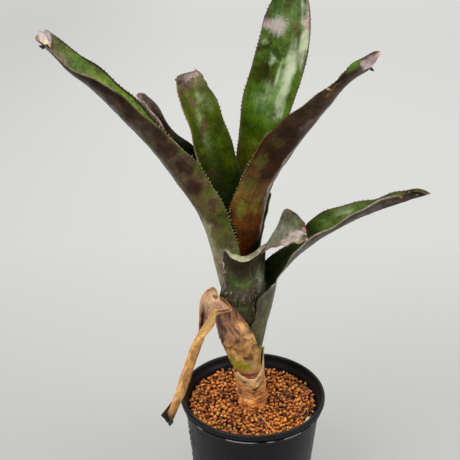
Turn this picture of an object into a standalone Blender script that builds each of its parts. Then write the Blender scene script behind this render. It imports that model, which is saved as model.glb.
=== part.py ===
"""A canistrum, a tank bromeliad, growing in a round black nursery pot filled with baked clay granules.

Frame: metres, +Z up. The origin is the centre of the pot's flat underside, and -Y is the plant's front.
Heights of the plant are given in millimetres above the granules' surface.
"""

import math

import bmesh
import bpy
import numpy as np
from mathutils import Vector

MM = 0.001
GAP = 0.3  # free space between neighbouring pieces, mm

# ---------------------------------------------------------------- driving dimensions, mm
POT_HEIGHT = 92.0
RIM_RADIUS = 52.5
RIM_BAND = 7.5
RIM_THICKNESS = 2.6
WALL = 1.4
WALL_TOP_RADIUS = 48.6
FOOT_RADIUS = 41.0
FLOOR = 2.0
SOIL_BELOW_RIM = 9.0
SOIL_Z = POT_HEIGHT - SOIL_BELOW_RIM
MOUND_PITCH = 15.6  # the heaped granules rise in low mounds, whose tops are 11 mm apart
MOUND_RISE = 0.95
MOUND_EDGE = 4.0  # the mounds fade out towards the stem and the wall

STEM_RADIUS = 11.0
STEM_BURIED = 22.0

LEAF_THICKNESS = 0.8
LAYER_PITCH = 1.45  # radial step from one clasping sheath to the next one inside it

ROUND_STEPS = 48

COLOURS = {
    "pot_plastic": ((0.025, 0.028, 0.031), 0.55),
    "clay_granules": ((0.36, 0.15, 0.05), 0.95),
    "stem_fibre": ((0.50, 0.27, 0.12), 0.85),
    "dry_leaf": ((0.46, 0.27, 0.14), 0.75),
    "green_leaf": ((0.08, 0.16, 0.03), 0.40),
    "purple_leaf": ((0.09, 0.05, 0.045), 0.45),
    "grey_sheath": ((0.12, 0.13, 0.09), 0.50),
}

plant = None


# ---------------------------------------------------------------- scene and shared helpers
def empty_scene():
    for item in list(bpy.data.objects):
        bpy.data.objects.remove(item, do_unlink=True)


def new_collection(name):
    made = bpy.data.collections.new(name)
    bpy.context.scene.collection.children.link(made)
    return made


def material(name):
    """A plain Principled material in the colour and roughness listed above."""
    found = bpy.data.materials.get(name)
    if found:
        return found
    made = bpy.data.materials.new(name)
    made.use_nodes = True
    shader = made.node_tree.nodes["Principled BSDF"]
    colour, roughness = COLOURS[name]
    shader.inputs["Base Color"].default_value = (*colour, 1.0)
    shader.inputs["Roughness"].default_value = roughness
    shader.inputs["Metallic"].default_value = 0.0
    made.diffuse_color = (*colour, 1.0)
    return made


def add_object(name, data, finish, collection=None):
    made = bpy.data.objects.new(name, data)
    (collection or plant).objects.link(made)
    if finish:
        made.data.materials.append(material(finish))
    return made


def smooth_through(knots, rows, at):
    """Values at the places `at` on a smooth curve through one row of numbers for each knot."""
    knots, rows = np.asarray(knots, float), np.asarray(rows, float)
    slopes = np.gradient(rows, knots, axis=0)
    at = np.clip(at, knots[0], knots[-1])
    i = np.clip(np.searchsorted(knots, at, side="right") - 1, 0, len(knots) - 2)
    span = knots[i + 1] - knots[i]
    f = (at - knots[i]) / span
    if rows.ndim > 1:
        f, span = f[..., None], span[..., None]
    start = (1 + 2 * f) * (1 - f) ** 2 * rows[i] + f * (1 - f) ** 2 * span * slopes[i]
    end = f**2 * (3 - 2 * f) * rows[i + 1] + f**2 * (f - 1) * span * slopes[i + 1]
    return start + end


def turned(name, profile, finish, steps=ROUND_STEPS):
    """A solid of revolution. The profile is (radius, height) in mm and runs down the outer side."""
    mesh = bpy.data.meshes.new(name)
    points = [(r * MM, 0.0, z * MM) for r, z in profile]
    edges = [(i, i + 1) for i in range(len(points) - 1)]
    mesh.from_pydata(points, edges, [])
    made = add_object(name, mesh, finish)
    screw = made.modifiers.new("turn", "SCREW")
    screw.axis = "Z"
    screw.steps = screw.render_steps = steps
    screw.use_merge_vertices = True
    screw.merge_threshold = 0.00001
    screw.use_normal_calculate = True
    screw.use_smooth_shade = True
    return made


# ---------------------------------------------------------------- pot
def pot_outer_radius(z):
    """Radius of the tapered wall's outside at height z."""
    top = POT_HEIGHT - RIM_BAND
    return FOOT_RADIUS + (WALL_TOP_RADIUS - FOOT_RADIUS) * z / top


def make_pot():
    """Injection-moulded pot: flat foot, tapered wall, a stepped band and a rounded lip."""
    band_foot = POT_HEIGHT - RIM_BAND
    lip_inside = RIM_RADIUS - RIM_THICKNESS
    inner_top = WALL_TOP_RADIUS - WALL
    profile = [
        (0.0, FLOOR),
        (pot_outer_radius(FLOOR) - WALL - 1.0, FLOOR),
        (pot_outer_radius(FLOOR) - WALL, FLOOR + 1.0),
        (inner_top, band_foot),
        (lip_inside - 0.6, band_foot + 2.4),
        (lip_inside, POT_HEIGHT - 1.2),
        (lip_inside + 0.5, POT_HEIGHT - 0.3),
        (lip_inside + 1.3, POT_HEIGHT),
        (RIM_RADIUS - 0.6, POT_HEIGHT - 0.3),
        (RIM_RADIUS, POT_HEIGHT - 1.2),
        (RIM_RADIUS - 0.5, band_foot + 1.8),
        (RIM_RADIUS - 1.3, band_foot),
        (WALL_TOP_RADIUS + 0.9, band_foot - 1.4),
        (WALL_TOP_RADIUS, band_foot - 2.8),
        (pot_outer_radius(1.6), 1.6),
        (FOOT_RADIUS - 1.6, 0.0),
        (0.0, 0.0),
    ]
    pot = turned("pot", profile, "pot_plastic")
    cut_drain_holes(pot)


def cut_drain_holes(pot):
    """Eight round drain holes in a ring through the pot's floor."""
    count, ring_radius, hole_radius = 8, 27.0, 3.5
    cutters = new_collection("cutters")
    for i in range(count):
        angle = 2 * math.pi * (i + 0.5) / count
        bpy.ops.mesh.primitive_cylinder_add(
            vertices=12,
            radius=hole_radius * MM,
            depth=4 * FLOOR * MM,
            location=(
                ring_radius * MM * math.cos(angle),
                ring_radius * MM * math.sin(angle),
                FLOOR / 2 * MM,
            ),
        )
        cutter = bpy.context.object
        cutter.name = f"drain_cutter_{i}"
        for owner in list(cutter.users_collection):
            owner.objects.unlink(cutter)
        cutters.objects.link(cutter)
        cutter.hide_render = True
        cutter.display_type = "WIRE"
        cut = pot.modifiers.new(f"drain_{i}", "BOOLEAN")
        cut.operation = "DIFFERENCE"
        cut.solver = "EXACT"
        cut.object = cutter


# ---------------------------------------------------------------- granules
def mound(x, y):
    """Height of the mounds of granules at a place on the bed, from -1 to 1."""
    return math.sin(2 * math.pi * x / MOUND_PITCH) * math.sin(2 * math.pi * y / MOUND_PITCH)


def heap_up(bed, inner, outer):
    """Raises the mounds on the top of the turned bed, between two radii."""
    bpy.context.view_layer.update()
    shown = bed.evaluated_get(bpy.context.evaluated_depsgraph_get())
    mesh = bpy.data.meshes.new_from_object(shown)
    bed.modifiers.clear()
    bed.data = mesh
    for vertex in mesh.vertices:
        x, y, z = vertex.co / MM
        radius = math.hypot(x, y)
        fade = min(1.0, (radius - inner) / MOUND_EDGE, (outer - radius) / MOUND_EDGE)
        if z > SOIL_Z - 1.0 and fade > 0.0:
            vertex.co.z += MOUND_RISE * fade * mound(x, y) * MM


def make_substrate():
    """The bed of clay granules as one solid, with a socket for the buried end of the stem."""
    foot = FLOOR + GAP
    wall = WALL + GAP
    socket = STEM_RADIUS + GAP
    top_radius = pot_outer_radius(SOIL_Z) - wall
    inner, outer = socket + 2.5, top_radius - 2.0
    rings = 8
    profile = [
        (0.0, SOIL_Z - STEM_BURIED - GAP),
        (socket, SOIL_Z - STEM_BURIED - GAP),
        (socket, SOIL_Z - 1.0),
        *[(inner + (outer - inner) * i / rings, SOIL_Z) for i in range(rings + 1)],
        (top_radius, SOIL_Z - 1.5),
        (pot_outer_radius(foot) - wall, foot + 1.4),
        (pot_outer_radius(foot) - wall - 1.4, foot),
        (0.0, foot),
    ]
    heap_up(turned("substrate", profile, "clay_granules"), inner, outer)


# ---------------------------------------------------------------- the plant's axis, stem and layers
def axis_x(height):
    """The plant leans a little to the left as it rises out of the granules."""
    return smooth_through([-30, 6, 42, 98, 160], [0.0, 0.0, -5.0, -7.6, -8.3], height)


def bundle_radius(height):
    """Outer radius of the bundle of clasping sheaths."""
    return smooth_through([12, 22, 42, 68, 88, 110], [9.3, 9.7, 12.2, 17.8, 21.0, 21.0], height)


def stem_radius(height):
    """The stem stays thick up to its youngest scars, then tapers to the growing point."""
    return smooth_through(
        [-STEM_BURIED, -8, 0, 8, 12.5, 19, 22, 27, 34, 42, 52, 64],
        [8.5, 9.6, 10.8, 10.4, 9.7, 9.5, 8.3, 6.6, 4.8, 3.3, 1.9, 0.8],
        height,
    )


def layer_radius(layer, height):
    return bundle_radius(height) - layer * LAYER_PITCH


def lowest_height(layer):
    """Where a sheath grows from: the stem has tapered enough there to leave room for its layer."""
    for height in np.arange(21.0, 64.0, 0.5):
        inside = layer_radius(layer, height) - LEAF_THICKNESS - GAP
        if inside >= stem_radius(height) + 0.4:
            return float(height)
    return 64.0


def make_stem():
    """Short woody stem, ringed with leaf scars above the granules, as a curve with its own radii."""
    scars = [3.0, 7.0, 11.0]
    heights = [-STEM_BURIED, -8.0, 0.0, 3.0, 5.0, 7.0, 9.0, 11.0, 13.0, 19.0, 22.0, 27.0, 34.0, 42.0, 52.0, 64.0]
    curve = bpy.data.curves.new("stem", "CURVE")
    curve.dimensions = "3D"
    curve.bevel_depth = MM
    curve.bevel_resolution = 4
    curve.use_fill_caps = True
    spline = curve.splines.new("POLY")
    spline.points.add(len(heights) - 1)
    for point, height in zip(spline.points, heights):
        groove = 0.4 if height in scars else 0.0
        point.co = (float(axis_x(height)) * MM, 0.0, (SOIL_Z + height) * MM, 1.0)
        point.radius = float(stem_radius(height)) - groove
    add_object("stem", curve, "stem_fibre")


# ---------------------------------------------------------------- sheaths and leaves
def sheath_point(layer, height, azimuth):
    """A point on the back of a clasping sheath, at one height and one direction from the plant's axis."""
    radius = float(layer_radius(layer, height))
    turn = math.radians(azimuth)
    return Vector(
        (float(axis_x(height)) + radius * math.cos(turn), radius * math.sin(turn), height)
    )


def sheath_rows(leaf):
    """Stations up the clasping sheath, where the leaf's cross-section is an arc round the plant's axis."""
    start, top = lowest_height(leaf["layer"]), leaf["clasp_to"]
    rows = []
    for share in np.linspace(0.0, 1.0, 5):
        height = start + (top - start) * float(share)
        wrap = leaf["wrap"][0] + (leaf["wrap"][1] - leaf["wrap"][0]) * float(share)
        middle = sheath_point(leaf["layer"], height, leaf["azimuth"])
        half_width = float(layer_radius(leaf["layer"], height)) * math.radians(wrap)
        rows.append((*middle, half_width, wrap, leaf["azimuth"], 0.0, 1.0, 0.0))
    return rows


def leaf_surface(leaf):
    """A function of u, along the leaf, and v, across it, that gives a point on its back in mm."""
    rows = sheath_rows(leaf)
    for i, station in enumerate(leaf["blade"]):
        pinch = station[7] if len(station) > 7 else 1.0
        rows.append((*station[:7], pinch, min(1.0, (i + 1) / 3)))
    rows = np.array(rows, float)
    steps = np.linalg.norm(np.diff(rows[:, :3], axis=0), axis=1)
    knots = np.concatenate([[0.0], np.cumsum(steps)])
    knots /= knots[-1]

    def point(u, v):
        here = smooth_through(knots, rows, np.array(u))
        ahead = smooth_through(knots, rows[:, :3], np.array(min(u + 0.01, 1.0)))
        behind = smooth_through(knots, rows[:, :3], np.array(max(u - 0.01, 0.0)))
        half_width, azimuth, roll = here[3], math.radians(here[5]), math.radians(here[6])
        cup, pinch, blade = max(math.radians(here[4]), 0.05), here[7], min(max(here[8], 0.0), 1.0)
        along = Vector((0, 0, 1)).lerp(Vector(ahead - behind).normalized(), blade).normalized()
        side = Vector((-math.sin(azimuth), math.cos(azimuth), 0))
        side = (side - along * side.dot(along)).normalized()
        inward = along.cross(side)
        side, inward = (
            side * math.cos(roll) + inward * math.sin(roll),
            inward * math.cos(roll) - side * math.sin(roll),
        )
        radius = half_width / cup
        middle = Vector(here[:3])
        across = side * pinch * radius * math.sin(v * cup)
        return middle + across + inward * radius * (1 - math.cos(v * cup))

    return point


def thin_solid(name, point, finish, along, across, keep=None):
    """A grid shaped by point(u, v) and thickened towards its inner face. keep(u, v) drops torn faces."""
    mesh = bpy.data.meshes.new(name)
    work = bmesh.new()
    bmesh.ops.create_grid(work, x_segments=across, y_segments=along, size=1.0)
    places = {vertex: ((vertex.co.y + 1) / 2, vertex.co.x) for vertex in work.verts}
    if keep:
        torn = []
        for face in work.faces:
            u = sum(places[v][0] for v in face.verts) / 4
            v = sum(places[v][1] for v in face.verts) / 4
            if not keep(u, v):
                torn.append(face)
        bmesh.ops.delete(work, geom=torn, context="FACES")
    for vertex in work.verts:
        vertex.co = point(*places[vertex]) * MM + Vector((0, 0, SOIL_Z * MM))
    work.to_mesh(mesh)
    work.free()
    mesh.shade_smooth()
    made = add_object(name, mesh, finish)
    shell = made.modifiers.new("thickness", "SOLIDIFY")
    shell.thickness = LEAF_THICKNESS * MM
    shell.offset = -1.0
    shell.use_even_offset = True
    return made


# Each blade station is x, y, height, half width, cup, azimuth and roll, in mm and degrees. The cup is the
# angle from the midrib to a margin on the cross-section's arc, and the azimuth is where its back faces.
# An eighth number, where there is one, narrows the section from margin to margin.
LEAVES = {
    "leaf_right_upper": {
        "layer": 9, "azimuth": -66, "clasp_to": 106, "wrap": (150, 110),
        "finish": "purple_leaf",
        "blade": [
            (-5.5, -8.0, 124, 13.0, 98, -68, 0),
            (-1.8, -11.0, 137, 11.4, 75, -70, 0),
            (-2.3, -15.0, 155.5, 15.2, 64, -68, -3),
            (4.3, -20.0, 177, 15.2, 68, -64, -4),
            (15.2, -27.0, 200, 16.3, 70, -60, -11),
            (27.3, -35.0, 217.6, 17.6, 62, -56, 2),
            (39.4, -43.0, 235, 16.0, 62, -52, 11),
            (49.8, -50.0, 251, 12.2, 61, -48, 18),
            (58.9, -54.0, 260.5, 9.1, 57, -44, -11),
            (62.3, -57.0, 266.6, 6.2, 44, -40, -10),
            (64.9, -58.0, 271, 3.7, 33, -40, -7),
        ],
    },
    "leaf_short_back": {
        "layer": 8, "azimuth": 20, "clasp_to": 98, "wrap": (130, 42),
        "finish": "green_leaf",
        "blade": [
            (2.5, 4.0, 120, 7.5, 42, 20, 0),
            (5.0, 5.0, 138, 8.0, 42, 22, 0),
            (8.0, 6.5, 152, 6.5, 40, 22, 0),
            (10.5, 7.0, 162, 3.0, 35, 22, 0),
        ],
    },
    "leaf_centre_left": {
        "layer": 7, "azimuth": 140, "clasp_to": 98, "wrap": (150, 66),
        "finish": "green_leaf",
        "blade": [
            (-15.8, 6.3, 120, 12.0, 66, 140, 0),
            (-19.3, 9.0, 144.6, 16.0, 67, 136, 0),
            (-24.7, 12.5, 164, 17.5, 55, 131, 0),
            (-29.3, 17.5, 184.5, 17.0, 50, 125, 0),
            (-35.5, 27.0, 206, 14.6, 45, 121, 0),
            (-39.6, 33.0, 216.4, 14.4, 40, 119, 0),
            (-43.2, 42.0, 228, 10.3, 39, 118, 0),
            (-45.0, 48.0, 233.7, 5.3, 31, 118, 0),
            (-43.4, 50.0, 235, 2.0, 29, 118, 0),
        ],
    },
    "leaf_centre_back": {
        "layer": 6, "azimuth": 80, "clasp_to": 98, "wrap": (150, 42),
        "finish": "green_leaf",
        "blade": [
            (-6.0, 13.5, 122, 9.5, 42, 80, 0),
            (-4.5, 18.5, 145, 11.5, 42, 80, 0),
            (-2.0, 22.0, 165, 13.0, 42, 80, 0),
            (2.0, 25.5, 184, 14.5, 40, 80, 0),
            (5.5, 28.5, 200, 16.5, 40, 80, 0),
            (9.0, 33.0, 217, 18.0, 40, 80, 0),
            (15.0, 38.0, 235, 18.5, 40, 80, 0),
            (19.5, 43.0, 253, 18.0, 40, 80, 0),
            (21.5, 47.0, 266, 16.5, 38, 80, 0),
            (24.0, 52.0, 281, 12.0, 36, 80, 0),
            (26.0, 55.5, 294, 6.0, 30, 80, 0),
            (26.5, 56.5, 298, 2.0, 30, 80, 0),
        ],
    },
    "leaf_left_long": {
        "layer": 5, "azimuth": 190, "clasp_to": 88, "wrap": (140, 96),
        "finish": "purple_leaf",
        "blade": [
            (-25.0, -3.0, 106, 23.5, 92, 194, 0, 0.95),
            (-29.6, -2.5, 127, 25.0, 98, 190, 6, 0.80),
            (-38.0, -3.5, 152.5, 24.1, 94, 188, 10, 0.95),
            (-50.3, -3.5, 172.7, 23.3, 97, 187, 22),
            (-69.0, -4.0, 199, 21.8, 92, 187, 8),
            (-85.4, -4.0, 218, 20.4, 90, 185, 3),
            (-103.0, -5.0, 237.4, 17.3, 81, 183, -1),
            (-113.5, -6.0, 248, 13.4, 66, 180, -14),
            (-123.8, -7.0, 259.4, 10.8, 60, 180, -11),
            (-132.1, -7.0, 268.4, 9.6, 45, 180, -15),
        ],
    },
    "leaf_left_back": {
        "layer": 4, "azimuth": 136, "clasp_to": 84, "wrap": (130, 26),
        "finish": "purple_leaf",
        "blade": [
            (-20.5, 14.8, 104, 6.0, 26, 132, 0),
            (-23.0, 19.0, 128, 6.0, 30, 134, 0),
            (-28.6, 21.5, 150.3, 7.1, 50, 142, -2),
            (-37.7, 23.0, 170, 8.0, 68, 150, -4),
            (-47.4, 24.5, 184, 8.4, 77, 155, -6),
            (-60.0, 28.5, 196.6, 7.1, 79, 155, 17),
            (-68.1, 33.0, 209.7, 7.7, 79, 155, 11),
            (-75.1, 36.0, 218, 5.6, 62, 155, 5),
            (-77.8, 37.0, 221.4, 3.8, 34, 155, -23),
        ],
    },
    "leaf_right_lower": {
        "layer": 3, "azimuth": 6, "clasp_to": 78, "wrap": (140, 44),
        "finish": "green_leaf",
        "blade": [
            (8.6, 2.5, 90, 9.0, 38, 10, 0),
            (10.2, 2.5, 97, 7.2, 32, 10, 0),
            (15.6, 2.0, 102, 7.7, 33, 8, 1),
            (22.0, -0.5, 112, 11.6, 42, 0, -1),
            (32.0, -4.0, 124.6, 14.5, 46, -6, -3),
            (40.8, -8.0, 135, 17.0, 67, -8, 4),
            (57.2, -11.0, 147.7, 14.6, 65, -8, 6),
            (76.2, -14.0, 157.3, 12.4, 73, -8, -12),
            (93.6, -17.0, 165.5, 11.1, 77, -8, -16),
            (103.6, -19.0, 170, 8.0, 63, -8, -11),
            (109.9, -20.0, 172.3, 1.8, 30, -8, -10),
        ],
    },
    "leaf_dead": {
        "layer": 0, "azimuth": 208, "clasp_to": 32, "wrap": (140, 125),
        "finish": "dry_leaf",
        "blade": [
            (-16.9, -6.2, 44, 26.0, 112, 208, 0),
            (-21.9, -8.3, 58, 29.2, 95, 208, 0),
            (-25.2, -9.8, 71, 27.0, 75, 208, 0),
            (-26.3, -10.6, 81, 17.0, 46, 207, 0),
            (-26.8, -12.0, 91, 11.0, 38, 204, 0),
            (-29.0, -13.0, 98, 10.0, 42, 202, 0),
            (-32.0, -13.5, 94, 9.5, 60, 200, 0),
            (-33.0, -14.0, 84, 9.5, 90, 200, 0),
            (-34.0, -14.5, 70, 10.0, 130, 200, 0),
            (-40.0, -16.0, 46, 10.5, 150, 200, 0),
            (-47.0, -18.5, 26, 10.5, 150, 200, 0),
            (-54.0, -21.5, 8, 11.0, 145, 200, 0),
            (-58.5, -23.0, -5, 10.5, 130, 200, 0),
        ],
    },
}

# Three older sheaths end in an uneven rim. A rim is the height of its edge for v from -1 to 1, and the
# flare is how far the rim leans out from the bundle.
TORN_LEAF = {"layer": 2, "azimuth": -86, "wrap": (140, 51), "flare": 2.0}
TORN_RIM = ([-1.0, -0.8, -0.4, 0.0, 0.4, 0.75, 1.0], [129.5, 129.5, 126.5, 123.5, 127.5, 132.0, 133.0])
TORN_FROM = 0.5
CUT_LEAF = {"layer": 1, "azimuth": -28, "wrap": (130, 74), "flare": 0.6}
CUT_RIM = ([-1.0, -0.5, 0.0, 0.25, 0.5, 1.0], [91.0, 95.0, 98.0, 96.0, 91.0, 85.0])
FIBRES = {"layer": -1, "azimuth": 10, "wrap": (172, 172), "flare": 0.0}
FIBRES_RIM = ([-1.0, -0.6, -0.25, 0.0, 0.35, 0.7, 1.0], [22.0, 21.0, 27.0, 38.0, 33.0, 24.0, 22.0])
FIBRES_FROM = 13.5


def stub_surface(leaf, rim, start):
    """A sheath that ends at an uneven rim, as point(u, v) with u running from its foot to the rim."""
    full = max(rim[1])

    def point(u, v):
        height = start + (float(smooth_through(*rim, np.array(v))) - start) * u
        wrap = leaf["wrap"][0] + (leaf["wrap"][1] - leaf["wrap"][0]) * min(1.0, u * 1.3)
        turn = leaf["azimuth"] + wrap * v
        lean = leaf["flare"] * max(0.0, (height - full + 40) / 40) ** 2
        outward = Vector((math.cos(math.radians(turn)), math.sin(math.radians(turn)), 0))
        return sheath_point(leaf["layer"], height, turn) + outward * lean

    return point


def make_leaves():
    for name, leaf in LEAVES.items():
        thin_solid(name, leaf_surface(leaf), leaf["finish"], along=22, across=10)
    cut = stub_surface(CUT_LEAF, CUT_RIM, lowest_height(CUT_LEAF["layer"]))
    thin_solid("leaf_cut_right", cut, "grey_sheath", along=10, across=10)
    fibres = stub_surface(FIBRES, FIBRES_RIM, FIBRES_FROM)
    thin_solid("sheath_fibres", fibres, "stem_fibre", along=4, across=14)
    make_torn_leaf()


def make_torn_leaf():
    """The torn front leaf: a sheath with a low rim, and one strip of its blade bent out to the right."""
    sheath = stub_surface(TORN_LEAF, TORN_RIM, lowest_height(TORN_LEAF["layer"]))
    rows, rim_row = 18, 13
    sheath_share = rim_row / rows + 0.001
    middles = [(0.0, 0.0, 0.0), (4.5, -2.0, 3.5), (10.0, -2.5, 9.5), (15.5, -2.0, 15.5), (19.5, -1.0, 19.5)]
    half_widths = [3.4, 3.2, 4.5, 7.0, 8.5]
    across_end = Vector((0.72, 0.1, -0.69))

    def point(u, v):
        if u <= sheath_share:
            return sheath(u / sheath_share, v)
        share = (u - sheath_share) / (1 - sheath_share)
        left, right = sheath(1.0, TORN_FROM), sheath(1.0, 1.0)
        root, across_root = (left + right) / 2, (right - left).normalized()
        knots = np.linspace(0, 1, len(middles))
        middle = root + Vector(smooth_through(knots, middles, np.array(share)))
        half = (right - left).length / 2 * (1 - share) ** 3
        half += float(smooth_through(knots, half_widths, np.array(share))) * (1 - (1 - share) ** 3)
        across = across_root.lerp(across_end, min(1.0, share * 1.6)).normalized()
        return middle + across * half * (v - (1 + TORN_FROM) / 2) / ((1 - TORN_FROM) / 2)

    def keep(u, v):
        return u < sheath_share or v > TORN_FROM

    thin_solid("leaf_torn_front", point, "grey_sheath", along=rows, across=12, keep=keep)


def main():
    global plant
    empty_scene()
    plant = new_collection("canistrum")
    make_pot()
    make_substrate()
    make_stem()
    make_leaves()


main()
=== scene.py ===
"""A canistrum, a tank bromeliad, growing in a round black nursery pot of baked clay granules.

The plant is put together from the outside in, as it grew: the pot and its granules, the woody stem, the
oldest sheaths at the foot, and then each younger leaf inside the last. Lengths are in millimetres until a
mesh is made.
"""

import math
import bmesh
import bpy
import numpy as np
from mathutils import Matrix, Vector, noise


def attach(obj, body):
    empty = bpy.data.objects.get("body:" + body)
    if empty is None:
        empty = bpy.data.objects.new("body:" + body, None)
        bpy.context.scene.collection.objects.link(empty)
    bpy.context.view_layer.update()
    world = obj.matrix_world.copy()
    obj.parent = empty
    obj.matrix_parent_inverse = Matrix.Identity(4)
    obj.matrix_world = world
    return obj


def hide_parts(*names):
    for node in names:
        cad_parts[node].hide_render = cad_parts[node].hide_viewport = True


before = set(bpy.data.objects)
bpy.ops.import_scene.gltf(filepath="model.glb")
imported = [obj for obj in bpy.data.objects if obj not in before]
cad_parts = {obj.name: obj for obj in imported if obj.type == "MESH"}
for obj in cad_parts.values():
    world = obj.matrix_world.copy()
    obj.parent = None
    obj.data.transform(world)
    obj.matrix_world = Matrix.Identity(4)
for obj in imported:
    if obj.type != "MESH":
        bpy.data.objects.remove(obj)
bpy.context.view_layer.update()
MM = 0.001


# ------------------------------------------------------------------------------------------ the studio
# A camera above the pot's rim, a wide pale floor that fills the whole view, and soft light: one large
# panel at the front left, and weaker ones at the front right, behind and overhead, under an even pale sky.
FLOOR_GREY = (0.60, 0.605, 0.585)
SKY_GREY, SKY_STRENGTH = (0.80, 0.81, 0.82), 0.42
# The floor's own glow from near the camera to far away: its darker near end is painted shade.
BACKGROUND_NEAR, BACKGROUND_MIDDLE = (0.44, 0.44, 0.415), (0.685, 0.69, 0.655)
BACKGROUND_FAR = (0.966, 0.966, 0.944)


def node(tree, kind, sockets=(), **settings):
    """A new node. A socket given as a value is set, and one given as another node's output is linked."""
    made = tree.nodes.new(kind)
    for name, value in settings.items():
        setattr(made, name, value)
    for name, value in dict(sockets).items():
        if isinstance(value, bpy.types.NodeSocket):
            tree.links.new(value, made.inputs[name])
        else:
            made.inputs[name].default_value = value
    return made


def new_material(name):
    """An empty node material, its tree and its object coordinates."""
    made = bpy.data.materials.new(name)
    made.use_nodes = True
    made.node_tree.nodes.clear()
    return made, made.node_tree, node(made.node_tree, "ShaderNodeTexCoord").outputs["Object"]


def maths(tree, operation, *values):
    """A sum on numbers and on the outputs of other nodes."""
    return node(tree, "ShaderNodeMath", dict(enumerate(values)), operation=operation).outputs[0]


def stretched(tree, value, low, high, to_low=0.0, to_high=1.0):
    """A value's range from low to high, stretched to run from to_low to to_high and held at its ends."""
    ends = {"From Min": low, "From Max": high, "To Min": to_low, "To Max": to_high}
    return node(tree, "ShaderNodeMapRange", {"Value": value, **ends}).outputs[0]


def graded(tree, value, stops):
    """The colour for a value, between the colours of (place, colour) stops."""
    ramp = node(tree, "ShaderNodeValToRGB", {"Fac": value})
    elements = ramp.color_ramp.elements
    while len(elements) < len(stops):
        elements.new(0.5)
    for element, (place, colour) in zip(elements, stops):
        element.position = place
        element.color = (*colour, 1.0)
    return ramp.outputs["Color"]


def put(name, data):
    """A new object in the scene, with the given mesh, curve, lamp or camera."""
    made = bpy.data.objects.new(name, data)
    bpy.context.scene.collection.objects.link(made)
    return made


def meshed(name, points, faces=(), edges=()):
    """A new object with a mesh of points in metres."""
    mesh = bpy.data.meshes.new(name)
    mesh.from_pydata(points, edges, faces)
    return put(name, mesh)


def make_camera():
    data = bpy.data.cameras.new("camera")
    data.angle = math.radians(30.0)
    data.clip_start, data.clip_end = 0.01, 50.0
    camera = put("camera", data)
    camera.location = (-0.0165, -0.5202, 0.4591)
    camera.rotation_euler = (math.radians(90.0 - 24.572), 0.0, 0.0)
    bpy.context.scene.camera = camera


def make_sky():
    sky = bpy.data.worlds.new("sky")
    sky.use_nodes = True
    tree = sky.node_tree
    tree.nodes.clear()
    shade = node(tree, "ShaderNodeBackground", {"Color": (*SKY_GREY, 1.0), "Strength": SKY_STRENGTH})
    node(tree, "ShaderNodeOutputWorld", {"Surface": shade.outputs[0]})
    bpy.context.scene.world = sky


def make_panel(name, place, size, watts, aim=(0.0, 0.0, 0.20)):
    """A light panel of `size` metres at `place`, facing `aim`."""
    data = bpy.data.lights.new(name, "AREA")
    data.shape = "RECTANGLE"
    data.size, data.size_y = size
    data.energy = watts
    panel = put(name, data)
    panel.location = place
    panel.rotation_euler = (Vector(aim) - Vector(place)).to_track_quat("-Z", "Y").to_euler()


def make_floor():
    """The floor keeps the pot's shadow, and part of its light is its own glow, with painted shade: darker
    near the camera and at the left.
    """
    half, own_light = 14.0, 0.62
    square = [(-half, -half, 0), (half, -half, 0), (half, half, 0), (-half, half, 0)]
    floor = meshed("floor", square, [(0, 1, 2, 3)])
    finish, tree, place = new_material("studio_floor")
    matt = node(tree, "ShaderNodeBsdfDiffuse", {"Color": (*FLOOR_GREY, 1.0)})
    apart = node(tree, "ShaderNodeSeparateXYZ", {0: place}).outputs
    stops = [(0.0, BACKGROUND_NEAR), (0.20, BACKGROUND_MIDDLE), (1.0, BACKGROUND_FAR)]
    fade = graded(tree, stretched(tree, apart["Y"], 0.0, 2.2), stops)
    # Painted shade: the glow dims towards the left.
    painted_shade_left = stretched(tree, apart["X"], -0.50, -0.12, 0.86)
    even = node(tree, "ShaderNodeEmission", {"Color": fade, "Strength": painted_shade_left})
    seen = node(tree, "ShaderNodeLightPath").outputs
    rays = maths(tree, "MAXIMUM", seen["Is Camera Ray"], seen["Is Glossy Ray"])
    share = maths(tree, "MULTIPLY", maths(tree, "MAXIMUM", rays, seen["Is Transmission Ray"]), own_light)
    both = node(tree, "ShaderNodeMixShader", {0: share, 1: matt.outputs[0], 2: even.outputs[0]})
    node(tree, "ShaderNodeOutputMaterial", {"Surface": both.outputs[0]})
    floor.data.materials.append(finish)


make_camera()
make_sky()
make_panel("panel_left", (-0.85, -0.75, 1.45), (0.9, 0.9), 17.0)
make_panel("panel_right", (1.25, -0.60, 1.05), (0.7, 0.9), 7.0)
make_panel("panel_back", (0.10, 0.95, 1.35), (1.2, 0.6), 9.0)
make_panel("panel_top", (0.05, -0.05, 1.75), (1.0, 1.0), 10.0)
make_floor()
bpy.context.scene.view_settings.view_transform = "Standard"


# --------------------------------------------------------------------------------------------- the pot
# A round nursery pot, injection moulded in black polypropylene with a thin tapered wall, a rolled lip, a
# stacking ring under it, and a ring of drain holes through the floor. It is damp, with dust on the wall.
POT_HEIGHT = 92.0
LIP_RADIUS = 52.5
LIP_ROUND = 1.35
RING_TOP = 86.1
WALL = 1.4
WALL_TOP_RADIUS, WALL_TOP = 48.6, 81.7
FOOT_RADIUS = 41.0
POT_FLOOR = 2.0
POT_STEPS = 160


def arc(centre, radius, start, end, steps):
    """Points on a round stretch of a profile, from one angle in degrees to another."""
    return [
        (centre[0] + radius * math.cos(math.radians(a)), centre[1] + radius * math.sin(math.radians(a)))
        for a in np.linspace(start, end, steps)
    ]


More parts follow.
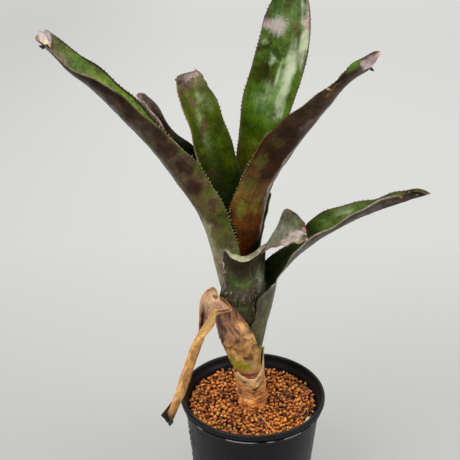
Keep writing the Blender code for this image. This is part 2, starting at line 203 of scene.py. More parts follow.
def pot_profile():
    """Radius and height, up the inside, over the lip and down the outside."""
    inner_top = WALL_TOP_RADIUS - WALL
    inner_foot = FOOT_RADIUS - WALL
    top = POT_HEIGHT - LIP_ROUND
    return [
        (0.0, POT_FLOOR),
        (inner_foot - 1.5, POT_FLOOR),
        *arc((inner_foot - 1.2, POT_FLOOR + 1.2), 1.2, -90, 0, 4),
        (inner_top, WALL_TOP + 2.4),
        (inner_top + 1.2, WALL_TOP + 4.4),
        (LIP_RADIUS - 3.0, WALL_TOP + 6.0),
        (LIP_RADIUS - 2.75, top - 0.6),
        *arc((LIP_RADIUS - LIP_ROUND, top), LIP_ROUND, 172, 8, 9),
        (LIP_RADIUS, top - 1.2),
        *arc((LIP_RADIUS - 0.6, top - 1.9), 0.6, 0, -90, 4),
        (LIP_RADIUS - 2.0, RING_TOP + 1.9),
        (LIP_RADIUS - 2.3, RING_TOP + 1.5),
        (LIP_RADIUS - 2.3, RING_TOP + 0.3),
        (LIP_RADIUS - 2.0, RING_TOP + 0.05),
        *arc((LIP_RADIUS - 1.35, RING_TOP - 0.35), 0.35, 90, -20, 4),
        (LIP_RADIUS - 1.6, RING_TOP - 1.4),
        (WALL_TOP_RADIUS + 0.9, WALL_TOP + 1.4),
        (WALL_TOP_RADIUS + 0.15, WALL_TOP + 0.5),
        (WALL_TOP_RADIUS, WALL_TOP - 0.4),
        *arc((FOOT_RADIUS - 0.9, 1.2), 1.2, 0, -90, 5),
        (0.0, 0.0),
    ]


def turned(name, profile, steps):
    """A closed solid of revolution round the pot's axis, with its faces pointing out."""
    line = [(i, i + 1) for i in range(len(profile) - 1)]
    piece = meshed(name, [(r * MM, 0.0, z * MM) for r, z in profile], edges=line)
    screw = piece.modifiers.new("turn", "SCREW")
    screw.axis = "Z"
    screw.steps = screw.render_steps = steps
    screw.merge_threshold = 0.00001
    screw.use_merge_vertices = screw.use_normal_calculate = screw.use_smooth_shade = True
    return piece


def settle(piece):
    """Turns what the modifiers make into the piece's own plain mesh."""
    bpy.context.view_layer.update()
    shown = piece.evaluated_get(bpy.context.evaluated_depsgraph_get())
    mesh = bpy.data.meshes.new_from_object(shown)
    mesh.name = piece.name
    piece.modifiers.clear()
    old = piece.data
    piece.data = mesh
    bpy.data.meshes.remove(old)
    return piece


def cut_drain_holes(pot):
    """Eight round holes through the floor."""
    count, ring, hole = 8, 27.0, 3.5
    work = bmesh.new()
    for i in range(count):
        turn = 2 * math.pi * (i + 0.5) / count
        made = bmesh.ops.create_cone(
            work, cap_ends=True, segments=32, radius1=hole * MM, radius2=hole * MM, depth=4 * POT_FLOOR * MM
        )
        shift = Vector((ring * math.cos(turn), ring * math.sin(turn), POT_FLOOR / 2)) * MM
        bmesh.ops.translate(work, verts=made["verts"], vec=shift)
    mesh = bpy.data.meshes.new("drain_cutters")
    work.to_mesh(mesh)
    work.free()
    cutters = put("drain_cutters", mesh)
    cut = pot.modifiers.new("drain", "BOOLEAN")
    cut.operation, cut.solver, cut.object = "DIFFERENCE", "EXACT", cutters
    settle(pot)
    bpy.data.objects.remove(cutters, do_unlink=True)


def noisy(tree, place, scale, detail):
    """Cloudy noise from 0 to 1 over a piece."""
    sockets = {"Vector": place, "Scale": scale, "Detail": detail}
    return node(tree, "ShaderNodeTexNoise", sockets).outputs["Fac"]


def mixed(tree, factor, below, above):
    """One colour laid over another, as thick as the factor."""
    made = node(tree, "ShaderNodeMix", {"Factor": factor, "A": below, "B": above}, data_type="RGBA")
    return made.outputs["Result"]


def plain_shader(tree, colour, roughness, height=None, strength=0.0, depth=0.0, **more):
    """Ends a material with its shader, and with a bump that follows `height` and is `depth` metres deep."""
    sockets = {"Base Color": colour, "Roughness": roughness}
    if height is not None:
        bump = node(tree, "ShaderNodeBump", {"Strength": strength, "Distance": depth, "Height": height})
        sockets["Normal"] = bump.outputs[0]
    for label, value in more.items():
        sockets[label.replace("_", " ")] = value
    shader = node(tree, "ShaderNodeBsdfPrincipled", sockets)
    node(tree, "ShaderNodeOutputMaterial", {"Surface": shader.outputs[0]})


def pot_plastic():
    """Charcoal plastic: a faint moulding haze, fine dust, and a broken pale line under the ring, a painted
    highlight on standing water.
    """
    finish, tree, place = new_material("pot_plastic_black")
    haze, dust = noisy(tree, place, 45.0, 5.0), noisy(tree, place, 1400.0, 2.0)
    tone = graded(tree, haze, [(0.35, (0.0042, 0.0049, 0.0056)), (0.70, (0.0078, 0.0088, 0.0098))])
    dusted = mixed(tree, stretched(tree, dust, 0.66, 0.74), tone, (0.060, 0.062, 0.062, 1.0))
    height = node(tree, "ShaderNodeSeparateXYZ", {0: place}).outputs["Z"]
    below = maths(tree, "COMPARE", height, (RING_TOP - 0.45) * MM, 0.45 * MM)
    flat = node(tree, "ShaderNodeVectorMath", {0: place, 1: (1.0, 1.0, 0.0)}, operation="MULTIPLY")
    reach = node(tree, "ShaderNodeVectorMath", {0: flat.outputs[0]}, operation="LENGTH").outputs["Value"]
    outer = maths(tree, "GREATER_THAN", reach, (LIP_RADIUS - 2.0) * MM)
    # A broken pale line along the ledge under the ring: a painted highlight.
    painted_glint_dashes = stretched(tree, noisy(tree, place, 75.0, 1.0), 0.50, 0.56)
    damp_and_glint = maths(tree, "MULTIPLY", maths(tree, "MULTIPLY", below, painted_glint_dashes), outer)
    edge = mixed(tree, damp_and_glint, dusted, (0.30, 0.31, 0.31, 1.0))
    rough = stretched(tree, haze, 0.0, 1.0, 0.30, 0.52)
    plain_shader(tree, edge, rough, dust, 0.18, 0.0002, Specular_IOR_Level=0.2)
    return finish


pot = turned("pot_moulding", pot_profile(), POT_STEPS)
cut_drain_holes(pot)
pot.data.shade_smooth()
pot.data.set_sharp_from_angle(angle=math.radians(38))
pot.data.materials.clear()
pot.data.materials.append(pot_plastic())
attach(pot, "root")
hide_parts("pot")


# ---------------------------------------------------------------------------------------- the granules
# Baked clay granules, about 3 mm across and rounded by sieving, poured in loose to just under the lip.
# Only the top layers are separate grains: they lie on a bed that fills the pot below them, which shows
# near black between the grains as painted shade.
SOIL_Z = 83.0
BED_TOP = SOIL_Z - 3.0
GRAIN_RADIUS = 1.48
GRAIN_SEGMENTS, GRAIN_RINGS = 8, 6
MOUND_PITCH, MOUND_RISE, MOUND_EDGE = 15.6, 0.95, 4.0
STEM_RADIUS = 11.0
STEM_DEPTH = 22.0
CLEAR = 0.3


def pot_inside(height):
    """Inner radius of the pot's tapered wall."""
    return FOOT_RADIUS + (WALL_TOP_RADIUS - FOOT_RADIUS) * height / WALL_TOP - WALL


def new_tree(name, **inputs):
    """An empty geometry tree with a geometry input, the named inputs, and a geometry output."""
    tree = bpy.data.node_groups.new(name, "GeometryNodeTree")
    tree.is_modifier = True
    for label, kind in {"Geometry": "Geometry", **inputs}.items():
        tree.interface.new_socket(label, in_out="INPUT", socket_type="NodeSocket" + kind)
    tree.interface.new_socket("Geometry", in_out="OUTPUT", socket_type="NodeSocketGeometry")
    return tree, node(tree, "NodeGroupInput").outputs


def run_tree(piece, tree, values):
    """Runs a geometry tree on a piece with the named values, and keeps the result as a plain mesh."""
    modifier = piece.modifiers.new(tree.name, "NODES")
    modifier.node_group = tree
    for item in tree.interface.items_tree:
        if item.in_out == "INPUT" and item.name in values:
            modifier[item.identifier] = values[item.name]
    return settle(piece)


def finish_tree(tree, geometry, material):
    """Smooth, real faces in one material, as every tree here ends."""
    smooth = node(tree, "GeometryNodeSetShadeSmooth", {0: geometry})
    real = node(tree, "GeometryNodeRealizeInstances", {0: smooth.outputs[0]})
    done = node(tree, "GeometryNodeSetMaterial", {"Geometry": real.outputs[0], "Material": material})
    node(tree, "NodeGroupOutput", {"Geometry": done.outputs[0]})
    return tree


def strewn(tree, given, density):
    """Points strewn over a face, at least one pitch apart."""
    sockets = {"Mesh": given["Geometry"], "Distance Min": given["Pitch"], "Density Max": density}
    sockets.update({"Density Factor": 1.0, "Seed": given["Seed"]})
    return node(tree, "GeometryNodeDistributePointsOnFaces", sockets, distribute_method="POISSON").outputs


def chance(tree, seed, low, high):
    """A random number, or three, between low and high for each instance."""
    several = isinstance(high, tuple)
    ends = {"Seed": seed, (0 if several else 2): low, (1 if several else 3): high}
    made = node(tree, "FunctionNodeRandomValue", ends, data_type="FLOAT_VECTOR" if several else "FLOAT")
    return made.outputs[0 if several else 1]


def copies(tree, points, shape, turn, size):
    """One copy of a shape on every point."""
    sockets = {"Points": points, "Instance": shape, "Rotation": turn, "Scale": size}
    return node(tree, "GeometryNodeInstanceOnPoints", sockets).outputs[0]


def grain_tree():
    """Scatters lumpy grains over a face. Each keeps a shade of its own in the attribute "shade"."""
    tree, given = new_tree(
        "loose grains", Pitch="Float", Radius="Float", Uneven="Float", Seed="Int", Finish="Material"
    )
    density, full_turn = 900000.0, 6.28
    points = strewn(tree, given, density)
    round_grain = {"Segments": GRAIN_SEGMENTS, "Rings": GRAIN_RINGS, "Radius": given["Radius"]}
    ball = node(tree, "GeometryNodeMeshUVSphere", round_grain)
    turn = chance(tree, given["Seed"], (0.0, 0.0, 0.0), (full_turn,) * 3)
    stretch = chance(tree, given["Seed"], (0.72, 0.66, 0.58), (1.26, 1.12, 1.00))
    grains = copies(tree, points["Points"], ball.outputs["Mesh"], turn, stretch)
    shade = {"Geometry": grains, "Name": "shade", "Value": chance(tree, given["Seed"], 0.0, 1.0)}
    kept = node(tree, "GeometryNodeStoreNamedAttribute", shade, data_type="FLOAT", domain="INSTANCE")
    lift = maths(tree, "MULTIPLY", chance(tree, given["Seed"], -1.0, 1.0), given["Uneven"])
    shift = node(tree, "ShaderNodeCombineXYZ", {"Z": lift}).outputs[0]
    lifted = {"Instances": kept.outputs[0], "Translation": shift, "Local Space": False}
    moved = node(tree, "GeometryNodeTranslateInstances", lifted)
    real = node(tree, "GeometryNodeRealizeInstances", {0: moved.outputs[0]})
    lumps = noisy(tree, node(tree, "GeometryNodeInputPosition").outputs[0], 470.0, 1.0)
    depth = maths(tree, "MULTIPLY", maths(tree, "SUBTRACT", lumps, 0.5), 2.8 * MM)
    push = {0: node(tree, "GeometryNodeInputNormal").outputs[0], "Scale": depth}
    push = node(tree, "ShaderNodeVectorMath", push, operation="SCALE").outputs[0]
    lumpy = node(tree, "GeometryNodeSetPosition", {"Geometry": real.outputs[0], "Offset": push})
    return finish_tree(tree, lumpy.outputs[0], given["Finish"])


def mound(x, y):
    """The granules lie in low mounds, whose tops are 11 mm apart: height at a place, from -1 to 1."""
    return math.sin(2 * math.pi * x / MOUND_PITCH) * math.sin(2 * math.pi * y / MOUND_PITCH)


def grid_faces(rows, columns, closed=False):
    """Four-sided faces between rows of points, joined round if `closed`."""
    faces = []
    for row in range(rows - 1):
        for i in range(columns if closed else columns - 1):
            here, beside = row * columns + i, row * columns + (i + 1) % columns
            faces.append((here, beside, beside + columns, here + columns))
    return faces


def grain_seat(name, height, inner, outer):
    """The ring that a layer of grains is scattered over, with the mounds in it."""
    steps, rings = 96, 12
    places = []
    for radius in np.linspace(inner, outer, rings):
        fade = min(1.0, (radius - inner) / MOUND_EDGE, (outer - radius) / MOUND_EDGE)
        for i in range(steps):
            turn = 2 * math.pi * i / steps
            x, y = radius * math.cos(turn), radius * math.sin(turn)
            places.append((x * MM, y * MM, (height + MOUND_RISE * fade * mound(x, y)) * MM))
    return meshed(name, places, grid_faces(rings, steps, closed=True))


def keep_on(mesh, label, values, kind="FLOAT"):
    """Keeps a value, a vector or a colour for each point in an attribute of the mesh."""
    made = mesh.attributes.new(label, kind, "POINT")
    field = {"FLOAT": "value", "FLOAT_VECTOR": "vector", "FLOAT_COLOR": "color"}[kind]
    made.data.foreach_set(field, np.asarray(values, np.float32).ravel())


def read(items, field):
    """What a field of three numbers says for each item of a mesh, in rows."""
    values = np.zeros(len(items) * 3)
    items.foreach_get(field, values)
    return values.reshape(-1, 3)


def shade_undersides(piece):
    """Keeps how high each point lies on its own grain in the attribute "lit", from 0 below to 1 on top, for
    the painted shade on its underside.
    """
    points = GRAIN_SEGMENTS * (GRAIN_RINGS - 1) + 2
    heights = read(piece.data.vertices, "co")[:, 2].reshape(-1, points)
    low, high = heights.min(1, keepdims=True), heights.max(1, keepdims=True)
    keep_on(piece.data, "lit", (heights - low) / (high - low))
    return piece


def read_off(tree, label, output="Fac"):
    """What an attribute of the mesh says at each place."""
    return node(tree, "ShaderNodeAttribute", attribute_name=label).outputs[output]


def times(tree, colour, factor):
    """A colour made lighter or darker by a factor."""
    return node(tree, "ShaderNodeVectorMath", {0: colour, "Scale": factor}, operation="SCALE").outputs[0]


def baked_clay():
    """Ochre to dark-brown clay, each grain its own shade, pitted and dull, darker in damp patches, and with
    painted shade on each grain's underside."""
    finish, tree, place = new_material("baked_clay")
    clay_tones = [
        (0.00, (0.045, 0.011, 0.002)),
        (0.20, (0.300, 0.080, 0.009)),
        (0.55, (0.600, 0.180, 0.021)),
        (0.88, (0.780, 0.265, 0.038)),
        (1.00, (0.840, 0.400, 0.100)),
    ]
    tone = graded(tree, read_off(tree, "shade"), clay_tones)
    pits, damp = noisy(tree, place, 1500.0, 4.0), noisy(tree, place, 38.0, 2.0)
    pitted = stretched(tree, pits, 0.3, 0.7, 0.62, 1.22)
    damp_and_glint = stretched(tree, damp, 0.40, 0.62, 0.72, 1.08)
    # Painted shade: each grain darkens towards its underside.
    painted_underside_shade = stretched(tree, read_off(tree, "lit"), 0.34, 0.92, 0.05, 1.22)
    factor = maths(tree, "MULTIPLY", maths(tree, "MULTIPLY", pitted, damp_and_glint), painted_underside_shade)
    rough = stretched(tree, damp, 0.0, 1.0, 0.55, 1.0)
    plain_shader(tree, times(tree, tone, factor), rough, pits, 0.5, 0.0004)
    return finish


def join(name, parts):
    """One piece from several, with their materials and attributes kept."""
    bpy.ops.object.select_all(action="DESELECT")
    for part in parts:
        part.select_set(True)
    bpy.context.view_layer.objects.active = parts[0]
    bpy.ops.object.join()
    parts[0].name = parts[0].data.name = name
    return parts[0]


clay = baked_clay()
bed = turned(
    "granule_bed",
    [
        (0.0, SOIL_Z - STEM_DEPTH - CLEAR),
        (STEM_RADIUS + CLEAR, SOIL_Z - STEM_DEPTH - CLEAR),
        (STEM_RADIUS + CLEAR, BED_TOP - 0.6),
        (STEM_RADIUS + CLEAR + 0.6, BED_TOP),
        (pot_inside(BED_TOP) - CLEAR - 0.8, BED_TOP),
        (pot_inside(BED_TOP) - CLEAR, BED_TOP - 0.8),
        (pot_inside(POT_FLOOR) - CLEAR, POT_FLOOR + CLEAR + 1.4),
        (pot_inside(POT_FLOOR) - CLEAR - 1.4, POT_FLOOR + CLEAR),
        (0.0, POT_FLOOR + CLEAR),
    ],
    96,
)
# Without the grains' attributes the clay paints the bed in its darkest tone and full underside shade: painted
# shade in the gaps.
settle(bed)
bed.data.materials.clear()
bed.data.materials.append(clay)
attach(bed, "root")
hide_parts("substrate")

grains_over_the_bed = grain_tree()
layers = []
for layer, (height, pitch, uneven) in enumerate([(-2.6, 2.50, 0.4), (-1.0, 2.30, 0.6), (0.2, 3.5, 0.7)]):
    outer = pot_inside(SOIL_Z) - GRAIN_RADIUS - 0.4
    seat = grain_seat(f"grains_{layer}", SOIL_Z + height, STEM_RADIUS + 1.6, outer)
    values = {"Pitch": pitch * MM, "Radius": GRAIN_RADIUS * MM, "Uneven": uneven * MM}
    values.update({"Seed": 11 + layer, "Finish": clay})
    layers.append(shade_undersides(run_tree(seat, grains_over_the_bed, values)))
grains = join("granules", layers)
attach(grains, "root")


# A dry straw and a flake of pale husk have fallen on the granules at the front.
def tube(name, points, radii, sides=10):
    """A round rod of changing radius along a smooth line, closed at both ends."""
    curve = bpy.data.curves.new(name, "CURVE")
    curve.dimensions = "3D"
    curve.bevel_depth = MM
    curve.bevel_resolution = max(0, sides // 4 - 1)
    curve.use_fill_caps = True
    spline = curve.splines.new("POLY")
    spline.points.add(len(points) - 1)
    for place, (x, y, z), radius in zip(spline.points, points, radii):
        place.co = (x * MM, y * MM, z * MM, 1.0)
        place.radius = radius
    piece = put(name, curve)
    mesh = bpy.data.meshes.new_from_object(piece.evaluated_get(bpy.context.evaluated_depsgraph_get()))
    bpy.data.objects.remove(piece, do_unlink=True)
    work = bmesh.new()
    work.from_mesh(mesh)
    bmesh.ops.remove_doubles(work, verts=work.verts, dist=0.000001)
    bmesh.ops.recalc_face_normals(work, faces=work.faces)
    work.to_mesh(mesh)
    work.free()
    mesh.shade_smooth()
    return put(name, mesh)


def plain_matter(name, dark, light, scale, roughness):
    """Dry plant matter: two tones in flecks, dull, and a little rough to the touch."""
    finish, tree, place = new_material(name)
    fleck = noisy(tree, place, scale, 4.0)
    plain_shader(tree, graded(tree, fleck, [(0.36, dark), (0.66, light)]), roughness, fleck, 0.4, 0.0003)
    return finish


straw = tube(
    "dry_straw",
    [(3.2, -17.1, 85.3), (6.4, -23.6, 85.9), (9.6, -30.2, 85.8), (12.0, -34.6, 85.5), (14.0, -38.2, 85.0)],
    [0.28, 0.42, 0.45, 0.42, 0.25],
)
straw.data.materials.append(plain_matter("straw", (0.56, 0.24, 0.06), (0.86, 0.47, 0.16), 900.0, 0.6))
husk = tube("pale_husk", [(36.6, -26.6, 85.2), (38.4, -25.0, 85.9), (40.0, -23.2, 85.4)], [0.6, 1.5, 0.7], 12)
husk.data.materials.append(plain_matter("husk", (0.55, 0.45, 0.33), (0.78, 0.70, 0.58), 700.0, 0.7))
for litter in (straw, husk):
    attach(litter, "root")


# --------------------------------------------------------------------------------------------- the stem
# A short woody stem. Above the granules it is wrapped in ringed leaf scars, with fibres of the oldest
# sheaths pulled round it and lumps where roots break out at the foot. It tapers up inside the sheaths.
def smooth_through(knots, rows, at):
    """Values at the places `at` on a smooth curve through one row of numbers for each knot."""
    knots, rows = np.asarray(knots, float), np.asarray(rows, float)
    slopes = np.gradient(rows, knots, axis=0)
    at = np.clip(at, knots[0], knots[-1])
    i = np.clip(np.searchsorted(knots, at, side="right") - 1, 0, len(knots) - 2)
    span = knots[i + 1] - knots[i]
    f = (at - knots[i]) / span
    if rows.ndim > 1:
        f, span = f[..., None], span[..., None]
    start = (1 + 2 * f) * (1 - f) ** 2 * rows[i] + f * (1 - f) ** 2 * span * slopes[i]
    end = f**2 * (3 - 2 * f) * rows[i + 1] + f**2 * (f - 1) * span * slopes[i + 1]
    return start + end


def axis_x(height):
    """The plant leans a little to the left as it rises out of the granules."""
    return smooth_through([-30, 6, 42, 98, 160], [0.0, 0.0, -5.0, -7.6, -8.3], height)


def stem_radius(height):
    """Radius of the stem at a height above the granules."""
    return smooth_through(
        [-STEM_DEPTH, -8, 0, 8, 12.5, 19, 22, 27, 34, 42, 52, 64],
        [8.5, 9.6, 10.8, 10.4, 9.7, 9.5, 8.3, 6.6, 4.8, 3.3, 1.9, 0.8],
        height,
    )


def bumps(places, scale, seed=0.0):
    """Smooth noise from about -1 to 1 at each place in mm, with lumps about 1/scale mm across."""
    shift = Vector((seed * 7.31, seed * 3.17, seed * 5.77))
    return np.array([noise.noise(Vector(p) * scale + shift) for p in places])


def make_stem():
    """The ringed and lumpy stem, which keeps how far each point lies in a groove and near the foot."""
    rows, around = 150, 96
    stretches = [(-STEM_DEPTH, -2, 10), (-1.6, 13.5, 100), (14, 64, 40)]
    heights = np.concatenate([np.linspace(*stretch) for stretch in stretches])
    turns = np.linspace(0, 2 * math.pi, around, endpoint=False)
    height, turn = (grid.ravel() for grid in np.meshgrid(heights, turns, indexing="ij"))
    radius = stem_radius(height)
    flat = np.stack([np.cos(turn) * 10, np.sin(turn) * 10, height], 1)
    wander = bumps(flat, 0.10, 1) * 0.7
    bare = np.clip((height + 2) / 3, 0, 1) * np.clip((20 - height) / 3, 0, 1)
    rings = np.abs(((height + wander) % 3.3) - 1.65) / 1.65
    grooves = np.clip((0.45 - rings) / 0.45, 0, 1) ** 1.5 * np.clip((height - 9.0) / 3, 0, 1)
    lumps = bumps(flat, 0.20, 2) + 0.45 * bumps(flat, 0.55, 17)
    pits = np.clip(-2.6 * lumps - 0.30, 0, 1) * np.clip((18 - height) / 4, 0, 1)
    lumps = np.clip(lumps, -0.5, 1) * np.clip((16 - height) / 5, 0, 1)
    fibre = bumps(flat * (1, 1, 7), 0.22, 3)
    radius = radius + bare * (1.7 * lumps - 0.75 * grooves + 0.22 * fibre + 0.35)
    places = np.stack([axis_x(height) + radius * np.cos(turn), radius * np.sin(turn), height + SOIL_Z], 1)
    underside, top = range(around)[::-1], range((rows - 1) * around, rows * around)
    faces = grid_faces(rows, around, closed=True) + [tuple(underside), tuple(top)]
    made = meshed("stem_wood", (places * MM).tolist(), faces)
    made.data.shade_smooth()
    keep_on(made.data, "groove", bare * np.maximum(grooves, pits))
    keep_on(made.data, "foot", bare * np.clip((16.0 - height) / 5, 0, 1))
    return made


def woody_fibre():
    """Cream to orange-tan bark: painted shade in grooves and pits, redder and wetter at the foot, streaked
    with fibres.
    """
    finish, tree, place = new_material("woody_fibre")
    squeezed = node(tree, "ShaderNodeMapping", {"Vector": place, "Scale": (1.0, 1.0, 6.0)})
    strands, blotch = noisy(tree, squeezed.outputs[0], 260.0, 5.0), noisy(tree, place, 190.0, 3.0)
    tans = [(0.30, (0.24, 0.070, 0.014)), (0.48, (0.58, 0.250, 0.075)), (0.68, (0.85, 0.500, 0.200))]
    reds = [(0.34, (0.36, 0.070, 0.013)), (0.50, (0.84, 0.270, 0.052)), (0.66, (0.98, 0.500, 0.160))]
    low = mixed(tree, read_off(tree, "foot"), graded(tree, strands, tans), graded(tree, blotch, reds))
    # Painted shade: the grooves and pits darken to about a fifth.
    deep = stretched(tree, read_off(tree, "groove"), 0.0, 1.0, 1.0, 0.22)
    plain_shader(tree, times(tree, low, deep), 0.72, strands, 0.6, 0.0005)
    return finish


wood = woody_fibre()
stem = make_stem()
stem.data.materials.append(wood)
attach(stem, "root")
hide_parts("stem")


# Loose fibres: thin strands of old sheath pulled round the stem above the granules, and short torn ends.
def strand(number, start, sweep, height, rise):
    """One fibre lying round the stem from one direction through `sweep` degrees."""
    points = []
    for share in np.linspace(0, 1, 14):
        turn = math.radians(start + sweep * share)
        level = height + rise * share + 0.35 * math.sin(7 * share + number)
        radius = float(stem_radius(level)) + 0.55 + 0.2 * math.sin(5 * share + 2 * number)
        x = float(axis_x(level)) + radius * math.cos(turn)
        points.append((x, radius * math.sin(turn), level + SOIL_Z))
    radii = 0.30 * np.sin(np.linspace(0.25, math.pi - 0.25, 14)) + 0.04
    return tube(f"strand_{number}", points, radii, 8)


# The direction that each starts from, its sweep, its height above the granules and its rise.
strand_runs = [
    (200, 150, 9.4, 1.6), (215, 120, 11.2, -1.8), (230, 140, 7.0, 1.2), (180, 70, 8.2, 3.4),
    (262, 110, 11.8, -2.8), (250, 60, 6.0, 3.0), (20, 130, 8.8, 2.0), (60, 150, 6.2, 1.6),
    (120, 100, 10.4, -1.2), (222, 46, 13.0, -3.4), (284, 70, 4.4, 2.2), (196, 60, 4.2, 1.5),
]
strands = [strand(number, *run) for number, run in enumerate(strand_runs)]
fibres = join("stem_strands", strands)
fibres.data.materials.append(wood)
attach(fibres, "root")


# ------------------------------------------------------------------------------ how the leaves are made
# Every leaf is one leathery sheet. Its sheath clasps the bundle, and its blade is a channel with toothed
# margins. The back is mauve-brown and scurfy, and the face green, each painted with its own stains.
LAYER_PITCH = 1.45
LEAF_THICKNESS = 0.8
MARGIN_THICKNESS = 0.4

# Tones that several leaves share: red, green and blue in percent.
GREEN = (10, 19, 1.4)
MID_GREEN = (5.2, 10.8, 0.5)
DEEP_GREEN = (1.6, 4, 0.1)
BLACK_GREEN = (0.5, 1, 0.1)
OLIVE = (7.8, 8, 0.8)
PURPLE_BROWN = (6, 3.4, 2)
DARK_PURPLE = (2.6, 1.4, 1)
ORANGE_BROWN = (17, 5.5, 0.4)
GREY_MAUVE = (20, 16, 15.8)
GREY_GREEN = (11, 11.5, 6.2)
PALE_GREY = (36, 34, 31)
PALE_GREEN = (30, 40, 22)
PINK = (56, 30, 31)
CREAM = (82, 60, 38)
CHARCOAL = (0.8, 0.7, 0.6)


def bundle_radius(height):
    """Outer radius of the bundle of clasping sheaths."""
    return smooth_through([12, 22, 42, 68, 88, 110], [9.3, 9.7, 12.2, 17.8, 21.0, 21.0], height)


def layer_radius(layer, height):
    """Outer radius of one layer of the bundle, counted from the outside."""
    return bundle_radius(height) - layer * LAYER_PITCH


def lowest_height(layer):
    """Where a sheath grows from: the stem has tapered enough there to leave room for its layer."""
    for height in np.arange(21.0, 64.0, 0.5):
        if layer_radius(layer, height) - LEAF_THICKNESS - CLEAR >= stem_radius(height) + 0.4:
            return float(height)
    return 64.0


def sheath_point(layer, height, azimuth):
    """Points on the back of a clasping sheath, at heights and directions from the plant's axis."""
    radius, turn = layer_radius(layer, height), np.radians(azimuth)
    return np.stack([axis_x(height) + radius * np.cos(turn), radius * np.sin(turn), height], -1)


def unit(vectors):
    """The same directions, with a length of 1."""
    return vectors / np.maximum(np.linalg.norm(vectors, axis=-1, keepdims=True), 1e-9)


def leaf_stations(leaf):
    """Stations up the sheath and along the blade, the place of each from 0 at the foot to 1 at the tip,
    and the leaf's length."""
    start, top = lowest_height(leaf["layer"]), leaf["clasp_to"]
    rows = []
    for share in np.linspace(0.0, 1.0, 5):
        height = start + (top - start) * share
        wrap = leaf["wrap"][0] + (leaf["wrap"][1] - leaf["wrap"][0]) * share
        half_width = layer_radius(leaf["layer"], height) * math.radians(wrap)
        middle = sheath_point(leaf["layer"], height, leaf["azimuth"])
        rows.append((*middle, half_width, wrap, leaf["azimuth"], 0.0, 1.0, 0.0))
    for i, station in enumerate(leaf["blade"]):
        pinch = station[7] if len(station) > 7 else 1.0
        rows.append((*station[:7], pinch, min(1.0, (i + 1) / 3)))
    rows = np.array(rows, float)
    steps = np.linalg.norm(np.diff(rows[:, :3], axis=0), axis=1)
    knots = np.concatenate([[0.0], np.cumsum(steps)])
    return rows, knots / knots[-1], knots[-1]


def leaf_surface(leaf):
    """A function of u, along the leaf, and v, across it, that gives points on its back in mm."""
    rows, knots, length = leaf_stations(leaf)
    round_off = leaf.get("tip_round", 3.0)
    wave, waves = leaf.get("wave", 0.5), 9

    def surface(u, v):
        u = u - leaf.get("oblique", 0.0) * np.clip((v + 0.25) / 1.25, 0.0, 1.0) * soft_step(u, 0.85, 1.0)
        here = smooth_through(knots, rows, u)
        run = smooth_through(knots, rows[:, :3], np.minimum(u + 0.01, 1.0))
        run = unit(run - smooth_through(knots, rows[:, :3], np.maximum(u - 0.01, 0.0)))
        blade = np.clip(here[:, 8:9], 0.0, 1.0)
        along = unit(np.array([0.0, 0.0, 1.0]) * (1 - blade) + run * blade)
        azimuth, roll = np.radians(here[:, 5]), np.radians(here[:, 6])[:, None]
        side = np.stack([-np.sin(azimuth), np.cos(azimuth), 0 * azimuth], 1)
        side = unit(side - along * (side * along).sum(1, keepdims=True))
        inward = np.cross(along, side)
        rolled = side * np.cos(roll) + inward * np.sin(roll)
        side, inward = rolled, inward * np.cos(roll) - side * np.sin(roll)
        to_tip = np.clip((1 - u) * length / round_off, 0.0, 1.0)
        half_width = here[:, 3] * np.sqrt(np.clip(1 - (1 - to_tip) ** 2, 0.0001, 1.0))
        cup, pinch = np.radians(here[:, 4]), here[:, 7]
        cup = np.where(np.abs(cup) < 0.05, 0.05, cup)
        radius = half_width / cup
        ripple = wave * blade[:, 0] * np.abs(v) ** 3 * np.sin(2 * math.pi * waves * u + 2.1 * np.sign(v))
        ripple *= to_tip
        across = side * (pinch * radius * np.sin(v * cup))[:, None]
        deep = inward * (radius * (1 - np.cos(v * cup)) + ripple)[:, None]
        return here[:, :3] + across + deep

    return surface


def soft_step(value, low, high):
    """0 up to low, 1 from high on, and a smooth rise between them."""
    share = np.clip((value - low) / (high - low), 0.0, 1.0)
    return share * share * (3 - 2 * share)


def painted(base, strokes, u, v, places):
    """Colours at (u, v): tones blended along the leaf, then soft-edged strokes laid over them in turn.
    A stroke is its colour, the u and v of its middle, its half length and half width, and its strength.
    All of these are in percent, and so are the colours and the places of the tones."""
    stops = [place for place, _ in base]
    colour = np.stack([np.interp(100 * u, stops, [tone[c] for _, tone in base]) for c in range(3)], 1)
    u = 100 * (u + 0.012 * bumps(places, 0.11, 4) + 0.009 * bumps(places, 0.35, 5))
    v = 100 * (v + 0.16 * bumps(places, 0.09, 6) + 0.13 * bumps(places, 0.33, 7))
    for tone, u0, v0, half_long, half_wide, strength in strokes:
        reach = np.hypot((u - u0) / half_long, (v - v0) / half_wide)
        share = (strength / 100 * (1 - soft_step(reach, 0.45, 1.15)))[:, None]
        colour = colour * (1 - share) + np.array(tone) * share
    return colour / 100


def edged(colour, u, v, tone, side, *percents):
    """A thin coloured margin on one side (-1 or 1). Its tone, the u where it starts and ends, its width
    and its strength are in percent."""
    start, end, width, strength = np.array(percents) / 100
    near = soft_step(side * v, 1 - width, 1 - width * 0.4)
    there = soft_step(u, start, start + 0.03) * (1 - soft_step(u, end - 0.03, end))
    share = (strength * near * there)[:, None]
    return colour * (1 - share) + np.array(tone) / 100 * share


def dusted(strokes, u, v, places):
    """How thick the pale scurf or the shine lies, from strokes of u, v, half length, half width and
    strength in percent."""
    amount = np.zeros(len(u))
    u = 100 * (u + 0.006 * bumps(places, 0.12, 8))
    v = 100 * (v + 0.07 * bumps(places, 0.10, 9))
    for u0, v0, half_long, half_wide, strength in strokes:
        reach = np.hypot((u - u0) / half_long, (v - v0) / half_wide)
        amount = np.maximum(amount, strength / 100 * (1 - soft_step(reach, 0.1, 1.3)))
    return amount


def dust(strokes):
    """Strokes of scurf or shine, as a paint for a sheet."""
    return lambda u, v, places: dusted(strokes, u, v, places)


